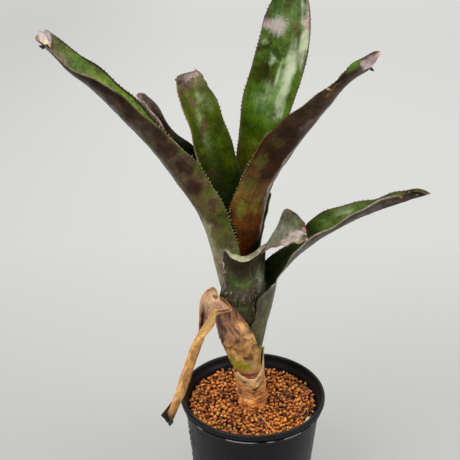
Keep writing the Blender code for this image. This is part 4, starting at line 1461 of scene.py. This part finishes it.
strip_paint = stub_paint(
    [(0, (17, 14, 11)), (20, (17, 16.5, 11.5)), (60, (13, 13.5, 8.5)), (100, (12, 11.5, 6))],
    [
        ((12, 19, 7), 80, 30, 9, 30, 60), ((20, 19, 16), 45, 0, 14, 40, 60),
        ((15, 10.5, 8), 66, 62, 16, 30, 70), ((16.5, 10, 8), 34, -85, 24, 22, 90),
        ((25, 11, 9), 78, 100, 22, 13, 90), ((56, 42, 38), 60, -84, 16, 24, 85),
        ((52, 41, 36), 78, -60, 14, 26, 85), ((60, 50, 45), 92, -38, 12, 24, 90),
        ((64, 27, 30), 97, 10, 6, 26, 90), ((24, 8.5, 8), 99, 75, 4, 30, 80),
        ((40, 20, 12), 86, -94, 12, 10, 85), (CREAM, 99.5, -95, 3, 14, 90),
        ((62, 62, 55), 60, 55, 1.2, 4.5, 95),
    ],
)
torn_sheath = sheet(
    "torn_sheath",
    torn_surface(),
    190,
    150,
    [leaf_back, leaf_face],
    {
        "back_tint": torn_back,
        "face_tint": torn_face,
        "back_scurf": dust([(62, -10, 10, 90, 16), (62, 60, 16, 30, 26)]),
        "face_scurf": dust([(97, 0, 3, 100, 20)]),
    },
    roughen=0.18,
    even_ends=True,
)
torn_strip = sheet(
    "torn_strip",
    strip_surface(),
    90,
    60,
    [leaf_back, leaf_face],
    {
        "back_tint": strip_paint,
        "face_tint": strip_paint,
        "back_scurf": dust([(35, 10, 20, 60, 22), (80, -40, 20, 30, 40)]),
        "face_scurf": dust([(80, -40, 20, 30, 40)]),
    },
    roughen=0.15,
    even_ends=True,
)
torn_leaf = join("torn_leaf", [torn_sheath, torn_strip])
take_place(torn_leaf, "leaf_torn_front")


# ------------------------------------------------------------------------------------ the lower right leaf
# The lowest living leaf. Its blade leaves the bundle between the cut and the torn sheaths, arches out to
# the right and shows its dark green channel from above, over a grey-brown back.
right_lower = {
    "layer": 3, "azimuth": 6, "clasp_to": 78, "wrap": (140, 44),
    "tip_round": 2.5,
    "blade": [
        (8.6, 2.5, 90, 11.0, 40, 10, 8),
        (9.6, 2.5, 98, 11.5, 40, 10, 20),
        (14.2, 2.0, 105, 12.0, 42, 8, 22),
        (21.6, -0.5, 113, 12.6, 44, 0, 10),
        (32.0, -4.0, 124.6, 14.5, 46, -6, -3),
        (40.8, -8.0, 135, 17.0, 67, -8, 4),
        (57.2, -11.0, 147.7, 14.6, 65, -8, 6),
        (76.2, -14.0, 157.3, 12.4, 73, -8, -12),
        (93.6, -17.0, 165.5, 11.1, 77, -8, -16),
        (103.6, -19.0, 170, 8.0, 63, -8, -11),
        (109.9, -20.0, 172.3, 1.8, 30, -8, -10),
    ],
    "face": (
        [(0, BLACK_GREEN), (42, BLACK_GREEN), (52, (2, 3.6, 0.4)), (60, (4.5, 7.5, 1.2)),
         (68, (8.5, 12.5, 2)), (78, (6.8, 9.5, 1.4)), (90, MID_GREEN), (100, PURPLE_BROWN)],
        [
            # The pale strokes at u 71 and 64 near the far margin are a painted highlight, as is the face
            # shine.
            ((13, 18.5, 7), 71, 66, 4.5, 20, 85), ((5, 11, 1.2), 77.5, 80, 3, 16, 70),
            ((12, 21, 5), 64, 60, 3, 20, 60), (BLACK_GREEN, 56, 20, 6, 40, 70),
            ((11, 9.5, 6), 85, 92, 6, 12, 60), (DARK_PURPLE, 93, 85, 3, 30, 80),
        ],
    ),
    "back": (
        [(0, OLIVE), (34, (8.5, 8.5, 4.5)), (50, (10.5, 10, 6.5)), (62, (8.5, 7.2, 5.5)),
         (80, (8, 6, 5)), (95, (5.8, 3.6, 2.6)), (100, (60, 40, 24))],
        [
            ((3, 2.4, 1.6), 66, -98, 20, 10, 80), ((17, 15, 13.5), 72, -62, 12, 16, 70),
            ((15, 12.5, 11.5), 84, -60, 7, 16, 60), ((20, 19, 16), 52, -70, 8, 16, 60),
            (ORANGE_BROWN, 90.7, -86, 1, 16, 95), ((50, 24, 9), 90.7, -82, 0.6, 10, 95),
            (CHARCOAL, 96.8, -75, 2.2, 45, 100), (CREAM, 96.3, -72, 0.4, 6, 90),
            ((78, 56, 38), 100, -50, 1.2, 160, 95),
        ],
    ),
    "back_margins": [((36, 36, 27), -1, 30, 92, 10, 75)],
    "face_margins": [((10, 6, 4), 1, 40, 98, 10, 70), ((30, 30, 20), -1, 30, 90, 10, 70)],
    "back_scurf": [(55, -80, 15, 40, 30), (99, -30, 1.2, 100, 50)],
    "teeth": [
        (-1, 0.36, 0.94, 3.4, 0.9, pale_tooth),
        (1, 0.4, 0.96, 3.0, 0.9, dark_tooth),
    ],
    "face_shine": [(71, 60, 4.5, 14, 42), (64, 66, 2, 12, 35)],
}
make_leaf("lower_right_leaf", "leaf_right_lower", right_lower)


# -------------------------------------------------------------------------------------- the left leaves
# A narrow leaf behind, half folded along its length, and in front of it the longest leaf of the plant,
# which leans out to the left and turns its green channel up near the end.
left_back = {
    "layer": 4, "azimuth": 136, "clasp_to": 84, "wrap": (130, 26),
    "tip_round": 2.0,
    "blade": [
        (-20.5, 14.8, 104, 6.0, 26, 132, 0),
        (-23.0, 19.0, 128, 6.0, 30, 134, 0),
        (-28.6, 21.5, 150.3, 7.1, 50, 142, -2),
        (-37.7, 23.0, 170, 8.0, 68, 150, -4),
        (-47.4, 24.5, 184, 8.4, 77, 155, -6),
        (-61.5, 28.5, 195.0, 9.0, 79, 155, 17),
        (-70.2, 33.0, 207.6, 10.0, 79, 155, 11),
        (-76.2, 36.0, 216.6, 7.2, 62, 155, 5),
        (-77.8, 37.0, 221.4, 3.8, 34, 155, -23),
    ],
    "face": (
        # Its face is painted near black up to u 80: painted shade inside the folded channel.
        [(0, BLACK_GREEN), (80, BLACK_GREEN), (85, (6.8, 5, 3)), (92, (9.8, 7.4, 4.8)), (100, (16, 10, 9))],
        [(DARK_PURPLE, 90, 55, 9, 14, 80), (DARK_PURPLE, 89, -75, 8, 24, 90), (PINK, 90, 10, 8, 6, 50)],
    ),
    "back": (
        [(0, GREY_GREEN), (75, (5.6, 4.2, 3)), (84, (7, 5.5, 3.8)), (92, (9.6, 7.4, 5.5)),
         (100, (24, 16.5, 15))],
        [
            ((36, 27, 25), 90, 95, 9, 8, 80), ((5, 3, 2.4), 90, 45, 8, 14, 80),
            ((60, 42, 34), 99, 95, 1.4, 40, 80),
        ],
    ),
    "back_margins": [((44, 32, 26), 1, 70, 100, 12, 85)],
    "face_margins": [((36, 26, 20), 1, 70, 100, 12, 85)],
    "back_scurf": [(95, 90, 5, 30, 35)],
    "face_scurf": [(99, 0, 2, 100, 40)],
    "teeth": [(1, 0.72, 0.97, 2.6, 0.55, pale_tooth), (-1, 0.72, 0.97, 3.0, 0.5, dark_tooth)],
}
make_leaf("folded_back_leaf", "leaf_left_back", left_back, 140, 30)

left_long = {
    "layer": 5, "azimuth": 190, "clasp_to": 88, "wrap": (140, 96),
    "tip_round": 2.2,
    "blade": [
        (-25.0, -3.0, 106, 23.5, 92, 194, 0, 0.95),
        (-29.6, -2.5, 127, 25.0, 98, 190, 6, 0.8),
        (-38.0, -3.5, 152.5, 24.1, 94, 188, 10, 0.95),
        (-50.3, -3.5, 172.7, 23.3, 97, 187, 22),
        (-69.0, -4.0, 199, 21.8, 92, 187, 8),
        (-85.4, -4.0, 218, 20.4, 90, 185, 3),
        (-103.0, -5.0, 237.4, 17.3, 81, 183, -1),
        (-113.5, -6.0, 248, 13.4, 66, 180, -14),
        (-123.8, -7.0, 259.4, 10.8, 60, 180, -11),
        (-132.1, -7.0, 268.4, 9.6, 45, 180, -15),
    ],
    "face": (
        [(0, BLACK_GREEN), (45, DEEP_GREEN), (62, (6.2, 10, 0.9)), (74, (17.8, 26, 3.8)),
         (84, (19, 26.5, 5.2)), (90, (14, 19, 3.8)), (96, (12, 12.5, 4.2)),
         (100, (16, 14, 10))],
        [
            ((11.5, 21.5, 4), 88.8, -60, 3.6, 30, 80), ((9.5, 17, 2.6), 82, -80, 5, 20, 60),
            ((6, 5.5, 2.6), 85, -90, 2, 14, 60), ((12, 9.5, 7), 91.2, -34, 2, 26, 90),
            ((16.5, 12, 9.5), 93, -12, 3, 20, 80), ((6, 7, 2.6), 95.5, -85, 3, 20, 60),
            ((12, 8.5, 6), 96.5, -30, 1.4, 40, 70), ((4, 5.5, 0.8), 74, -98, 5, 10, 60),
            ((30, 29, 28), 98.5, -30, 1.3, 110, 85), ((42, 29, 28), 99.2, 10, 0.8, 50, 80),
            ((78, 46, 24), 100, -60, 0.6, 50, 90), ((72, 42, 20), 98.5, 95, 1.2, 16, 90),
        ],
    ),
    "back": (
        [(0, GREY_GREEN), (24, (29, 26.2, 14.8)), (31, (20.5, 19.2, 9)), (36, (10, 9.6, 2.7)),
         (45, (9, 7.1, 2.2)), (52, (9.3, 6.7, 3.2)),
         (66, (6, 4, 2.7)), (80, (5.2, 3.6, 2.6)), (92, (7.5, 5.5, 4.5)), (100, GREY_MAUVE)],
        [
            # Grey strokes down the middle are a painted reflection; the near-black ones at v 90 to 95 are
            # painted shadow.
            ((15, 13, 12), 86, 45, 6, 18, 80), ((14, 12, 11), 78, 34, 8, 14, 80),
            ((15, 12.5, 11.5), 68, 22, 9, 16, 80), ((15, 13, 11), 56, 6, 9, 16, 70),
            ((25, 23.5, 15), 36, 20, 10, 24, 75), ((21, 20, 11), 28, 45, 6, 30, 75),
            ((1.8, 1.1, 0.7), 83, 95, 9, 30, 90), ((2.2, 1.4, 0.8), 74, 90, 6, 26, 85),
            (DARK_PURPLE, 66, 85, 3, 30, 80), ((3.6, 1.6, 1.2), 61.7, 62, 2.6, 26, 85),
            ((3.6, 1.6, 1.2), 55.6, 62, 2.4, 24, 90), ((3.4, 1.5, 1.2), 50.1, 48, 2.8, 30, 90),
            ((4.5, 2, 1.8), 45, 80, 2.2, 20, 80), ((8, 9.5, 1.4), 59, 88, 1.6, 14, 80),
            ((8, 10, 1.4), 52.8, 90, 1.8, 14, 85), ((8.5, 10, 1.8), 47.5, 86, 2, 16, 70),
            ((7, 10.5, 1.4), 40, 84, 3, 20, 80), ((5, 2.6, 2.4), 40, 62, 2, 16, 60),
            ((5.5, 8, 1.6), 64, 42, 1.6, 16, 50),
        ],
    ),
    "back_margins": [
        ((34, 24, 17), 1, 78, 97, 6, 80), ((16, 15, 5), 1, 30, 80, 5, 60),
    ],
    "face_margins": [
        ((3, 1.8, 1.2), -1, 55, 98.5, 10, 90), ((26, 22, 10), 1, 60, 97, 10, 75),
    ],
    "face_scurf": [(98.8, -20, 1.6, 120, 75), (92.5, -20, 3, 25, 20)],
    "back_scurf": [(97, 40, 4, 70, 40), (80, 35, 12, 16, 22), (62, 15, 20, 20, 22)],
    "teeth": [
        (1, 0.34, 0.955, 2.6, 1.25, pale_tooth),
        (-1, 0.5, 0.97, 2.6, 0.9, dark_tooth),
    ],
    "points": [
        ((-127.2, -14.9, 265.0), (0.25, -0.1, -1.0), 2.8, 2.3, black_point),
        ((-124.2, -14.2, 265.0), (0.45, -0.1, -1.0), 3.6, 0.9, black_point),
    ],
}

# Its tip is bent back and hangs down, scurfy, with a raw orange edge.
tip_rows = [
    (-129.6, -9, 271.6, -127.8, -9, 271.9, -126, -9, 271.6, -124.4, -9, 270.5, -122.8, -9, 268.4),
    (-129.8, -11, 269.4, -128.1, -11.5, 269.5, -126.1, -11.5, 269.2, -124.2, -11, 267.9, -122.3, -11, 266.4),
    (-128.8, -13, 266.6, -127.3, -14, 266.8, -125.5, -14, 266.8, -123.9, -13.5, 265.8, -122.7, -13, 264.2),
    (-128.2, -14, 264.6, -126.7, -15, 264.5, -125.2, -15, 265.1, -124.1, -14.5, 264.7, -123.2, -14, 262.7),
]
tip_paint = stub_paint(
    [(0, (40, 35, 34)), (60, (46, 40, 37)), (82, (60, 42, 30)), (100, (86, 52, 24))],
    [
        ((60, 44, 42), 35, -30, 18, 40, 80), ((24, 19, 16), 55, 55, 16, 30, 70),
        ((80, 50, 26), 30, -100, 30, 16, 90),
    ],
)
left_long["end"] = [
    sheet(
        "bent_tip",
        lofted(tip_rows),
        40,
        30,
        [leaf_back, leaf_face],
        {
            "back_tint": tip_paint,
            "face_tint": tip_paint,
            "back_scurf": dust([(40, 0, 40, 80, 55)]),
            "face_scurf": dust([(40, 0, 40, 80, 55)]),
        },
        even_ends=True,
    )
]
make_leaf("long_left_leaf", "leaf_left_long", left_long, 190, 52)


# ------------------------------------------------------------------------------------ the middle leaves
# Two upright leaves show their green faces: a broad tall one behind, stained and scarred near the top,
# and a shorter one in front of it at the left with a scurfy pink shoulder and a black point.
centre_back = {
    "layer": 6, "azimuth": 80, "clasp_to": 98, "wrap": (150, 42),
    "tip_round": 5.0, "wave": 0.7,
    "blade": [
        (-6.0, 13.5, 122, 9.5, 42, 80, 0),
        (-4.5, 18.5, 145, 11.5, 42, 80, 0),
        (-2.0, 22.0, 165, 13.0, 42, 80, 0),
        (2.0, 25.5, 184, 14.5, 40, 80, 0),
        (5.5, 28.5, 200, 16.5, 40, 80, 0),
        (9.0, 33.0, 217, 18.0, 40, 80, 0),
        (15.0, 38.0, 235, 18.5, 40, 80, 0),
        (19.5, 43.0, 253, 18.0, 40, 80, 0),
        (21.5, 47.0, 266, 16.5, 38, 80, 0),
        (24.0, 52.0, 281, 12.0, 36, 80, 0),
        (26.0, 55.5, 294, 6.0, 30, 80, 0),
        (26.5, 56.5, 298, 2.0, 30, 80, 0),
    ],
    "face": (
        [(0, BLACK_GREEN), (42, (1.2, 2.2, 0.1)), (48, (3.6, 4.6, 0.2)), (54, (5.2, 6, 0.3)),
         (58, (3.8, 6.6, 0.1)), (63, (5.2, 10.4, 0.4)), (69, (6.3, 12.2, 0.7)),
         (76, (5.5, 10, 1)), (82, (6.4, 11.5, 1.6)), (88, (8, 14.5, 3.4)),
         (93, (6, 11, 2.2)), (100, (7.5, 12, 3))],
        [
            ((9, 17, 4), 66.5, 30, 3.5, 40, 80), ((12, 21.5, 6.2), 70, -20, 5, 30, 75),
            ((11, 20, 5), 64, -10, 2, 30, 60), ((2.4, 3.2, 0.3), 73.8, 50, 3.6, 50, 95),
            ((3.6, 4.8, 0.5), 72.5, 10, 2.6, 30, 88), ((2.2, 3.2, 0.4), 80.5, 72, 2.4, 36, 93),
            ((2.6, 4, 0.6), 79, 20, 2, 28, 88), ((3.4, 4.2, 1), 91.8, 0, 2.4, 30, 85),
            ((3, 4.2, 0.4), 58.8, 72, 3.6, 30, 80), ((3, 4.4, 0.3), 54.5, -20, 3, 60, 70),
            ((10, 15, 1.6), 56, 20, 1.4, 30, 60), ((30, 38, 21), 76.8, 36, 1.6, 18, 90),
            ((19, 26, 13), 81.6, 70, 1.3, 15, 80), ((16, 24, 9), 78.6, -8, 1.8, 14, 70),
            # The pale green strokes at v -48 and -86 are painted highlight, which the face shine widens.
            ((34, 42, 22), 74.5, -48, 5, 15, 60), ((40, 36, 26), 85, -82, 5, 20, 85),
            ((34, 23, 19), 90, -92, 6, 16, 90), ((34, 38, 24), 80, -86, 4, 16, 80),
            ((50, 26, 28), 86, 86, 1.3, 20, 100), ((56, 33, 33), 85.5, 72, 1, 16, 70),
            ((20, 9.5, 4.5), 87, -30, 0.3, 18, 70), ((17, 7, 3.5), 85.8, -34, 0.34, 22, 85),
            ((22, 11, 5), 84.6, -38, 0.3, 14, 65), ((2.6, 4.6, 0.8), 64.3, -48, 0.36, 22, 80),
            ((24, 28, 15), 63.7, -44, 0.34, 20, 70), ((2.6, 4.6, 0.8), 63.1, -38, 0.3, 16, 70),
        ],
    ),
    "back": (
        [(0, GREY_GREEN), (45, (8.5, 7.5, 4.5)), (70, (7.5, 5.5, 4)), (100, (11, 8, 7))],
        [
            (DARK_PURPLE, 60, 20, 4, 60, 70), (OLIVE, 68, -30, 4, 50, 70),
            (DARK_PURPLE, 76, -10, 4, 70, 70), (GREY_MAUVE, 84, 20, 4, 60, 60),
        ],
    ),
    "face_margins": [
        ((12, 6.5, 5), 1, 50, 98.5, 6, 70), ((12, 6.5, 5), -1, 50, 98.5, 6, 70),
    ],
    "face_scurf": [
        (86.2, 36, 3.2, 50, 105), (85.7, 80, 1.8, 30, 70), (89.5, -88, 5.5, 20, 42), (99, 0, 3, 100, 60),
    ],
    "back_scurf": [(70, 0, 30, 120, 25), (98, 0, 5, 100, 60)],
    "teeth": [
        (1, 0.46, 0.97, 2.6, 0.95, dark_tooth),
        (-1, 0.46, 0.97, 2.6, 0.95, dark_tooth),
    ],
    "points": [((26.4, 56.0, 297.0), (0.05, 0.2, 1.0), 3.2, 0.8, black_point)],
    "face_shine": [
        (70, -46, 8, 26, 100), (76.5, -42, 7, 30, 105), (80, -34, 6, 22, 90), (82, -74, 6, 26, 95),
        (65, -60, 4, 20, 70), (74, -5, 6, 10, 60), (69, 20, 5, 40, 40), (90, -60, 5, 25, 60),
    ],
}
make_leaf("tall_back_leaf", "leaf_centre_back", centre_back, 210, 56)

centre_left = {
    "layer": 7, "azimuth": 140, "clasp_to": 98, "wrap": (150, 66),
    "tip_round": 2.6, "oblique": 0.05,
    "blade": [
        (-15.8, 6.3, 120, 12.0, 66, 140, 0),
        (-19.3, 9.0, 144.6, 16.0, 67, 136, 0),
        (-24.7, 12.5, 164, 17.5, 55, 131, 0),
        (-29.3, 17.5, 184.5, 17.0, 50, 125, 0),
        (-35.5, 27.0, 206, 14.6, 45, 121, 0),
        (-39.6, 33.0, 216.4, 14.4, 40, 119, 0),
        (-42.8, 40.0, 224.5, 11.8, 36, 118, 0),
        (-42.7, 44.5, 229.4, 10.4, 32, 118, 0),
        (-40.2, 49.5, 234.8, 6.0, 28, 118, 0),
    ],
    "face": (
        [(0, BLACK_GREEN), (50, (0.4, 0.9, 0.1)), (58, (1, 1.8, 0.1)), (66, (2.4, 4.2, 0.1)),
         (74, (4.6, 7.6, 0.2)), (82, (5.6, 8.2, 0.3)), (90, (6.4, 8.6, 0.8)),
         (100, (12, 11, 5))],
        [
            ((4.2, 7.8, 0.2), 76, -75, 12, 34, 75), ((3, 5, 0.1), 68, -70, 6, 40, 80),
            # The four pale green strokes from u 74 to 89 are a painted sheen.
            ((12.5, 19, 4), 81, 18, 3, 26, 60), ((10, 16, 3), 74, 0, 3, 26, 55),
            ((15, 19, 8), 89, -30, 3, 26, 80), ((12, 15, 5.5), 85, -50, 2, 20, 60),
            ((11, 6.2, 3.6), 86.8, 16, 2.4, 28, 85), ((8.5, 4.5, 2.4), 80, -2, 1.4, 22, 85),
            ((7.5, 3.6, 2.2), 77.6, 6, 1.2, 26, 90), ((6, 3.6, 1.4), 75.5, 24, 1.4, 24, 80),
            ((5, 3.4, 1), 69, 36, 2.4, 30, 85), ((4, 2, 0.8), 63.2, 10, 2.4, 36, 80),
            ((8.5, 12, 1.2), 71.5, 44, 1.6, 24, 60), ((11, 8, 3.6), 92, 55, 3, 30, 60),
            ((13, 11, 5.5), 94.5, -30, 2.4, 50, 70), ((15.5, 8.5, 7), 96.5, 30, 2.2, 60, 80),
            ((6, 3, 3.4), 97.5, 85, 1.6, 20, 90), ((12, 6, 6.2), 94, 40, 1.2, 24, 80),
            ((15, 8, 8), 94.6, 5, 1.2, 16, 80), ((34, 23, 20), 98.5, 0, 1.4, 100, 70),
        ],
    ),
    "back": (
        [(0, GREY_GREEN), (50, (8.5, 7, 4)), (75, (8, 5.5, 4.2)), (100, GREY_MAUVE)],
        [
            (DARK_PURPLE, 66, -20, 4, 50, 70), (OLIVE, 74, 30, 4, 40, 70),
            (DARK_PURPLE, 82, 10, 4, 60, 60),
        ],
    ),
    "face_margins": [
        ((30, 15, 9), 1, 55, 97, 11, 85), ((8, 6, 3), -1, 55, 98, 5, 60),
    ],
    "back_margins": [((32, 18, 11), 1, 55, 97, 11, 85)],
    "face_scurf": [(97.5, 15, 2.2, 60, 42), (98.8, -20, 1.4, 80, 42)],
    "back_scurf": [(75, 0, 25, 120, 25), (98, 0, 5, 100, 60)],
    "teeth": [
        (-1, 0.52, 0.96, 2.6, 0.95, dark_tooth),
        (1, 0.56, 0.93, 3.2, 0.7, dark_tooth),
    ],
    "points": [((-50.0, 43.6, 228.6), (-1.0, -0.2, 0.1), 3.6, 2.3, black_point)],
    "face_shine": [(89, -30, 6, 22, 50), (82, 5, 5, 30, 38), (74, 10, 4, 30, 28)],
}
make_leaf("middle_left_leaf", "leaf_centre_left", centre_left, 190, 52)


# ------------------------------------------------------------------------------- the inner right leaves
# A short leaf deep in the bundle, of which a grey-green edge shows, and the young upper right leaf that
# closes the rosette. It turns its back to the front: brown, purple and olive, pale grey along the keel
# with scurf and painted sheen.
short_back = {
    "layer": 8, "azimuth": 20, "clasp_to": 98, "wrap": (130, 42),
    "tip_round": 2.0,
    "blade": [
        (2.5, 4.0, 120, 7.5, 42, 20, 0),
        (5.0, 5.0, 138, 8.0, 42, 22, 0),
        (8.0, 6.5, 152, 6.5, 40, 22, 0),
        (10.5, 7.0, 162, 3.0, 35, 22, 0),
    ],
    "face": ([(0, BLACK_GREEN), (100, DEEP_GREEN)], []),
    "back": (
        [(0, GREY_GREEN), (72, (15, 16, 12)), (86, (6, 7, 4.5)), (100, GREY_GREEN)],
        [(BLACK_GREEN, 86, -60, 6, 30, 70)],
    ),
    "back_margins": [((30, 32, 24), -1, 55, 85, 20, 70)],
    "back_scurf": [(72, -80, 10, 40, 35)],
    "teeth": [(-1, 0.6, 0.95, 3.0, 0.5, pale_tooth)],
}
make_leaf("inner_short_leaf", "leaf_short_back", short_back, 110, 30)

right_upper = {
    "layer": 9, "azimuth": -66, "clasp_to": 106, "wrap": (150, 110),
    "tip_round": 2.5,
    "blade": [
        (-5.5, -8.0, 124, 13.0, 98, -68, 0),
        (-1.8, -11.0, 137, 11.4, 75, -70, 0),
        (-2.3, -15.0, 155.5, 15.2, 64, -68, -3),
        (4.3, -20.0, 177, 15.2, 68, -64, -4),
        (15.2, -27.0, 200, 16.3, 70, -60, -11),
        (27.3, -35.0, 217.6, 17.6, 62, -56, 2),
        (39.4, -43.0, 235, 16.0, 62, -52, 11),
        (49.8, -50.0, 251, 12.2, 61, -48, 18),
        (58.9, -54.0, 260.5, 9.1, 57, -44, -11),
        (62.3, -57.0, 266.6, 6.2, 44, -40, -10),
        (64.9, -58.0, 271, 3.7, 33, -40, -7),
    ],
    "face": ([(0, BLACK_GREEN), (50, DEEP_GREEN), (80, MID_GREEN), (100, GREEN)], [
        (OLIVE, 62, -30, 3, 40, 60), (PURPLE_BROWN, 74, 20, 3, 40, 60), (PINK, 97, 0, 3, 100, 70),
    ]),
    "back": (
        [(0, ORANGE_BROWN), (34, (7.5, 1.8, 0.1)), (40, (10.5, 3.4, 0.3)), (46, (14.8, 7.4, 1.8)),
         (57, (4.3, 1.2, 0.4)), (66, (3.7, 1.2, 0.5)), (75, (5, 2.5, 1.3)),
         (85, (6.6, 4, 2.3)),
         (100, (11, 8, 7))],
        [
            ((14, 12, 1.2), 42.5, -52, 3.6, 28, 90), ((16, 11.5, 1.4), 44.8, 6, 3, 22, 85),
            ((6, 1.8, 0.6), 38, -10, 5, 20, 80), ((4.5, 1.2, 0.4), 33, 30, 4, 30, 80),
            ((8, 7.5, 1.2), 50, -56, 3.5, 30, 85), ((8.5, 8, 1.4), 58, -60, 3, 26, 80),
            ((6.2, 5.6, 1.2), 65, -55, 2.6, 30, 70), ((13, 5.5, 3), 47, 42, 6, 25, 75),
            ((8, 3.4, 2), 56, 30, 5, 16, 70), ((2.4, 1, 0.8), 54.5, -10, 2.6, 34, 90),
            ((2.6, 1.1, 0.9), 64, -2, 4, 30, 85), ((3, 1.4, 1), 69, -55, 3, 30, 75),
            ((3.2, 1.8, 1), 79, -72, 6, 20, 80), ((2.4, 1.6, 0.8), 90, -75, 4, 24, 85),
            ((15, 11, 9.5), 73.5, -16, 3.6, 20, 80), ((17, 13, 11.5), 79, 0, 4, 18, 80),
            # The grey strokes from u 36 to 88 along the keel are scurf with painted sheen where the back
            # turns away.
            ((9, 5.5, 3.6), 87, -45, 3, 20, 60), ((36, 25, 21), 36, 66, 5, 12, 85),
            ((39, 30, 27), 43, 72, 6, 13, 90), ((38, 30, 27), 50, 54, 6, 13, 90),
            ((37, 29, 26), 59, 41, 7, 12, 85), ((36, 30, 26), 69, 28, 7, 12, 85),
            ((58, 49, 45), 80, 16, 6, 13, 90), ((52, 44, 40), 88, 3, 5, 13, 85),
            ((28, 12, 4), 87.4, -74, 2, 6, 85), ((95, 64, 34), 86.1, -92, 0.6, 13, 100),
            ((28, 12, 4), 84.6, -66, 1.4, 5, 70), ((74, 56, 55), 96.6, -10, 2.6, 80, 97),
            ((62, 42, 42), 98.5, -10, 1.2, 80, 80), (CHARCOAL, 94.7, 30, 0.7, 44, 95),
            ((10, 19, 2.8), 94.5, -92, 3.5, 26, 95), ((100, 78, 48), 100, 20, 1.4, 90, 98),
        ],
    ),
    "back_margins": [((12, 8.5, 2), -1, 33, 90, 5, 60)],
    "back_scurf": [(97, 0, 2.4, 70, 45), (74, 50, 16, 24, 28)],
    "points": [((60.1, -58.8, 261.8), (0.9, -0.1, -0.7), 2.4, 1.1, black_point)],
    "teeth": [
        (-1, 0.34, 0.66, 2.4, 1.1, pale_tooth),
        (-1, 0.66, 0.93, 2.4, 1.0, dark_tooth),
        (1, 0.4, 0.9, 3.2, 0.8, pale_tooth),
    ],
}
make_leaf("upper_right_leaf", "leaf_right_upper", right_upper, 200, 52)


# ------------------------------------------------------------------------------------- drops of water
# The pot has just been watered: flattened beads of water stand on the outside of its wall, thickest at
# the left. They are clear.
def drop_tree():
    """Flattened beads of water, scattered over a face and lying against it."""
    tree, given = new_tree(
        "water drops", Pitch="Float", Radius="Float", Density="Float", Seed="Int", Finish="Material"
    )
    points = strewn(tree, given, given["Density"])
    bead = node(tree, "GeometryNodeMeshUVSphere", {"Segments": 12, "Rings": 8, "Radius": given["Radius"]})
    size = chance(tree, given["Seed"], 0.35, 1.25)
    flat = maths(tree, "MULTIPLY", size, 0.55)
    scale = node(tree, "ShaderNodeCombineXYZ", {"X": size, "Y": size, "Z": flat}).outputs[0]
    drops = copies(tree, points["Points"], bead.outputs["Mesh"], points["Rotation"], scale)
    return finish_tree(tree, drops, given["Finish"])


def wet_patch(name, start, end, low, high):
    """The part of the pot's wall, between two directions and two heights, where drops stand."""
    turns, levels = np.radians(np.linspace(start, end, 24)), np.linspace(low, high, 10)
    places = []
    for level in levels:
        radius = pot_inside(level) + WALL + 0.05
        places += [(radius * math.cos(t) * MM, radius * math.sin(t) * MM, level * MM) for t in turns]
    return meshed(name, places, grid_faces(len(levels), len(turns)))


def clear_water():
    """Clear water with a smooth surface."""
    finish, tree, _ = new_material("clear_water")
    plain_shader(tree, (0.92, 0.95, 0.96, 1.0), 0.03, IOR=1.333, Transmission_Weight=1.0)
    return finish


water = clear_water()
beads_of_water = drop_tree()
# Where each patch starts and ends, its lowest and highest level, and the drops' pitch, radius and density.
wet_walls = [
    (165, 222, 20, 80, 3.0, 1.20, 100000.0),
    (216, 300, 16, 78, 6.5, 0.45, 18000.0),
    (300, 395, 16, 78, 8.0, 0.60, 14000.0),
    (36, 167, 16, 78, 9.0, 0.60, 10000.0),
]
patches = []
for number, (start, end, low, high, pitch, radius, density) in enumerate(wet_walls):
    values = {"Pitch": pitch * MM, "Radius": radius * MM, "Density": density}
    values.update({"Seed": 21 + number, "Finish": water})
    patches.append(run_tree(wet_patch(f"wet_{number}", start, end, low, high), beads_of_water, values))
drops = join("water_drops", patches)
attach(drops, "root")
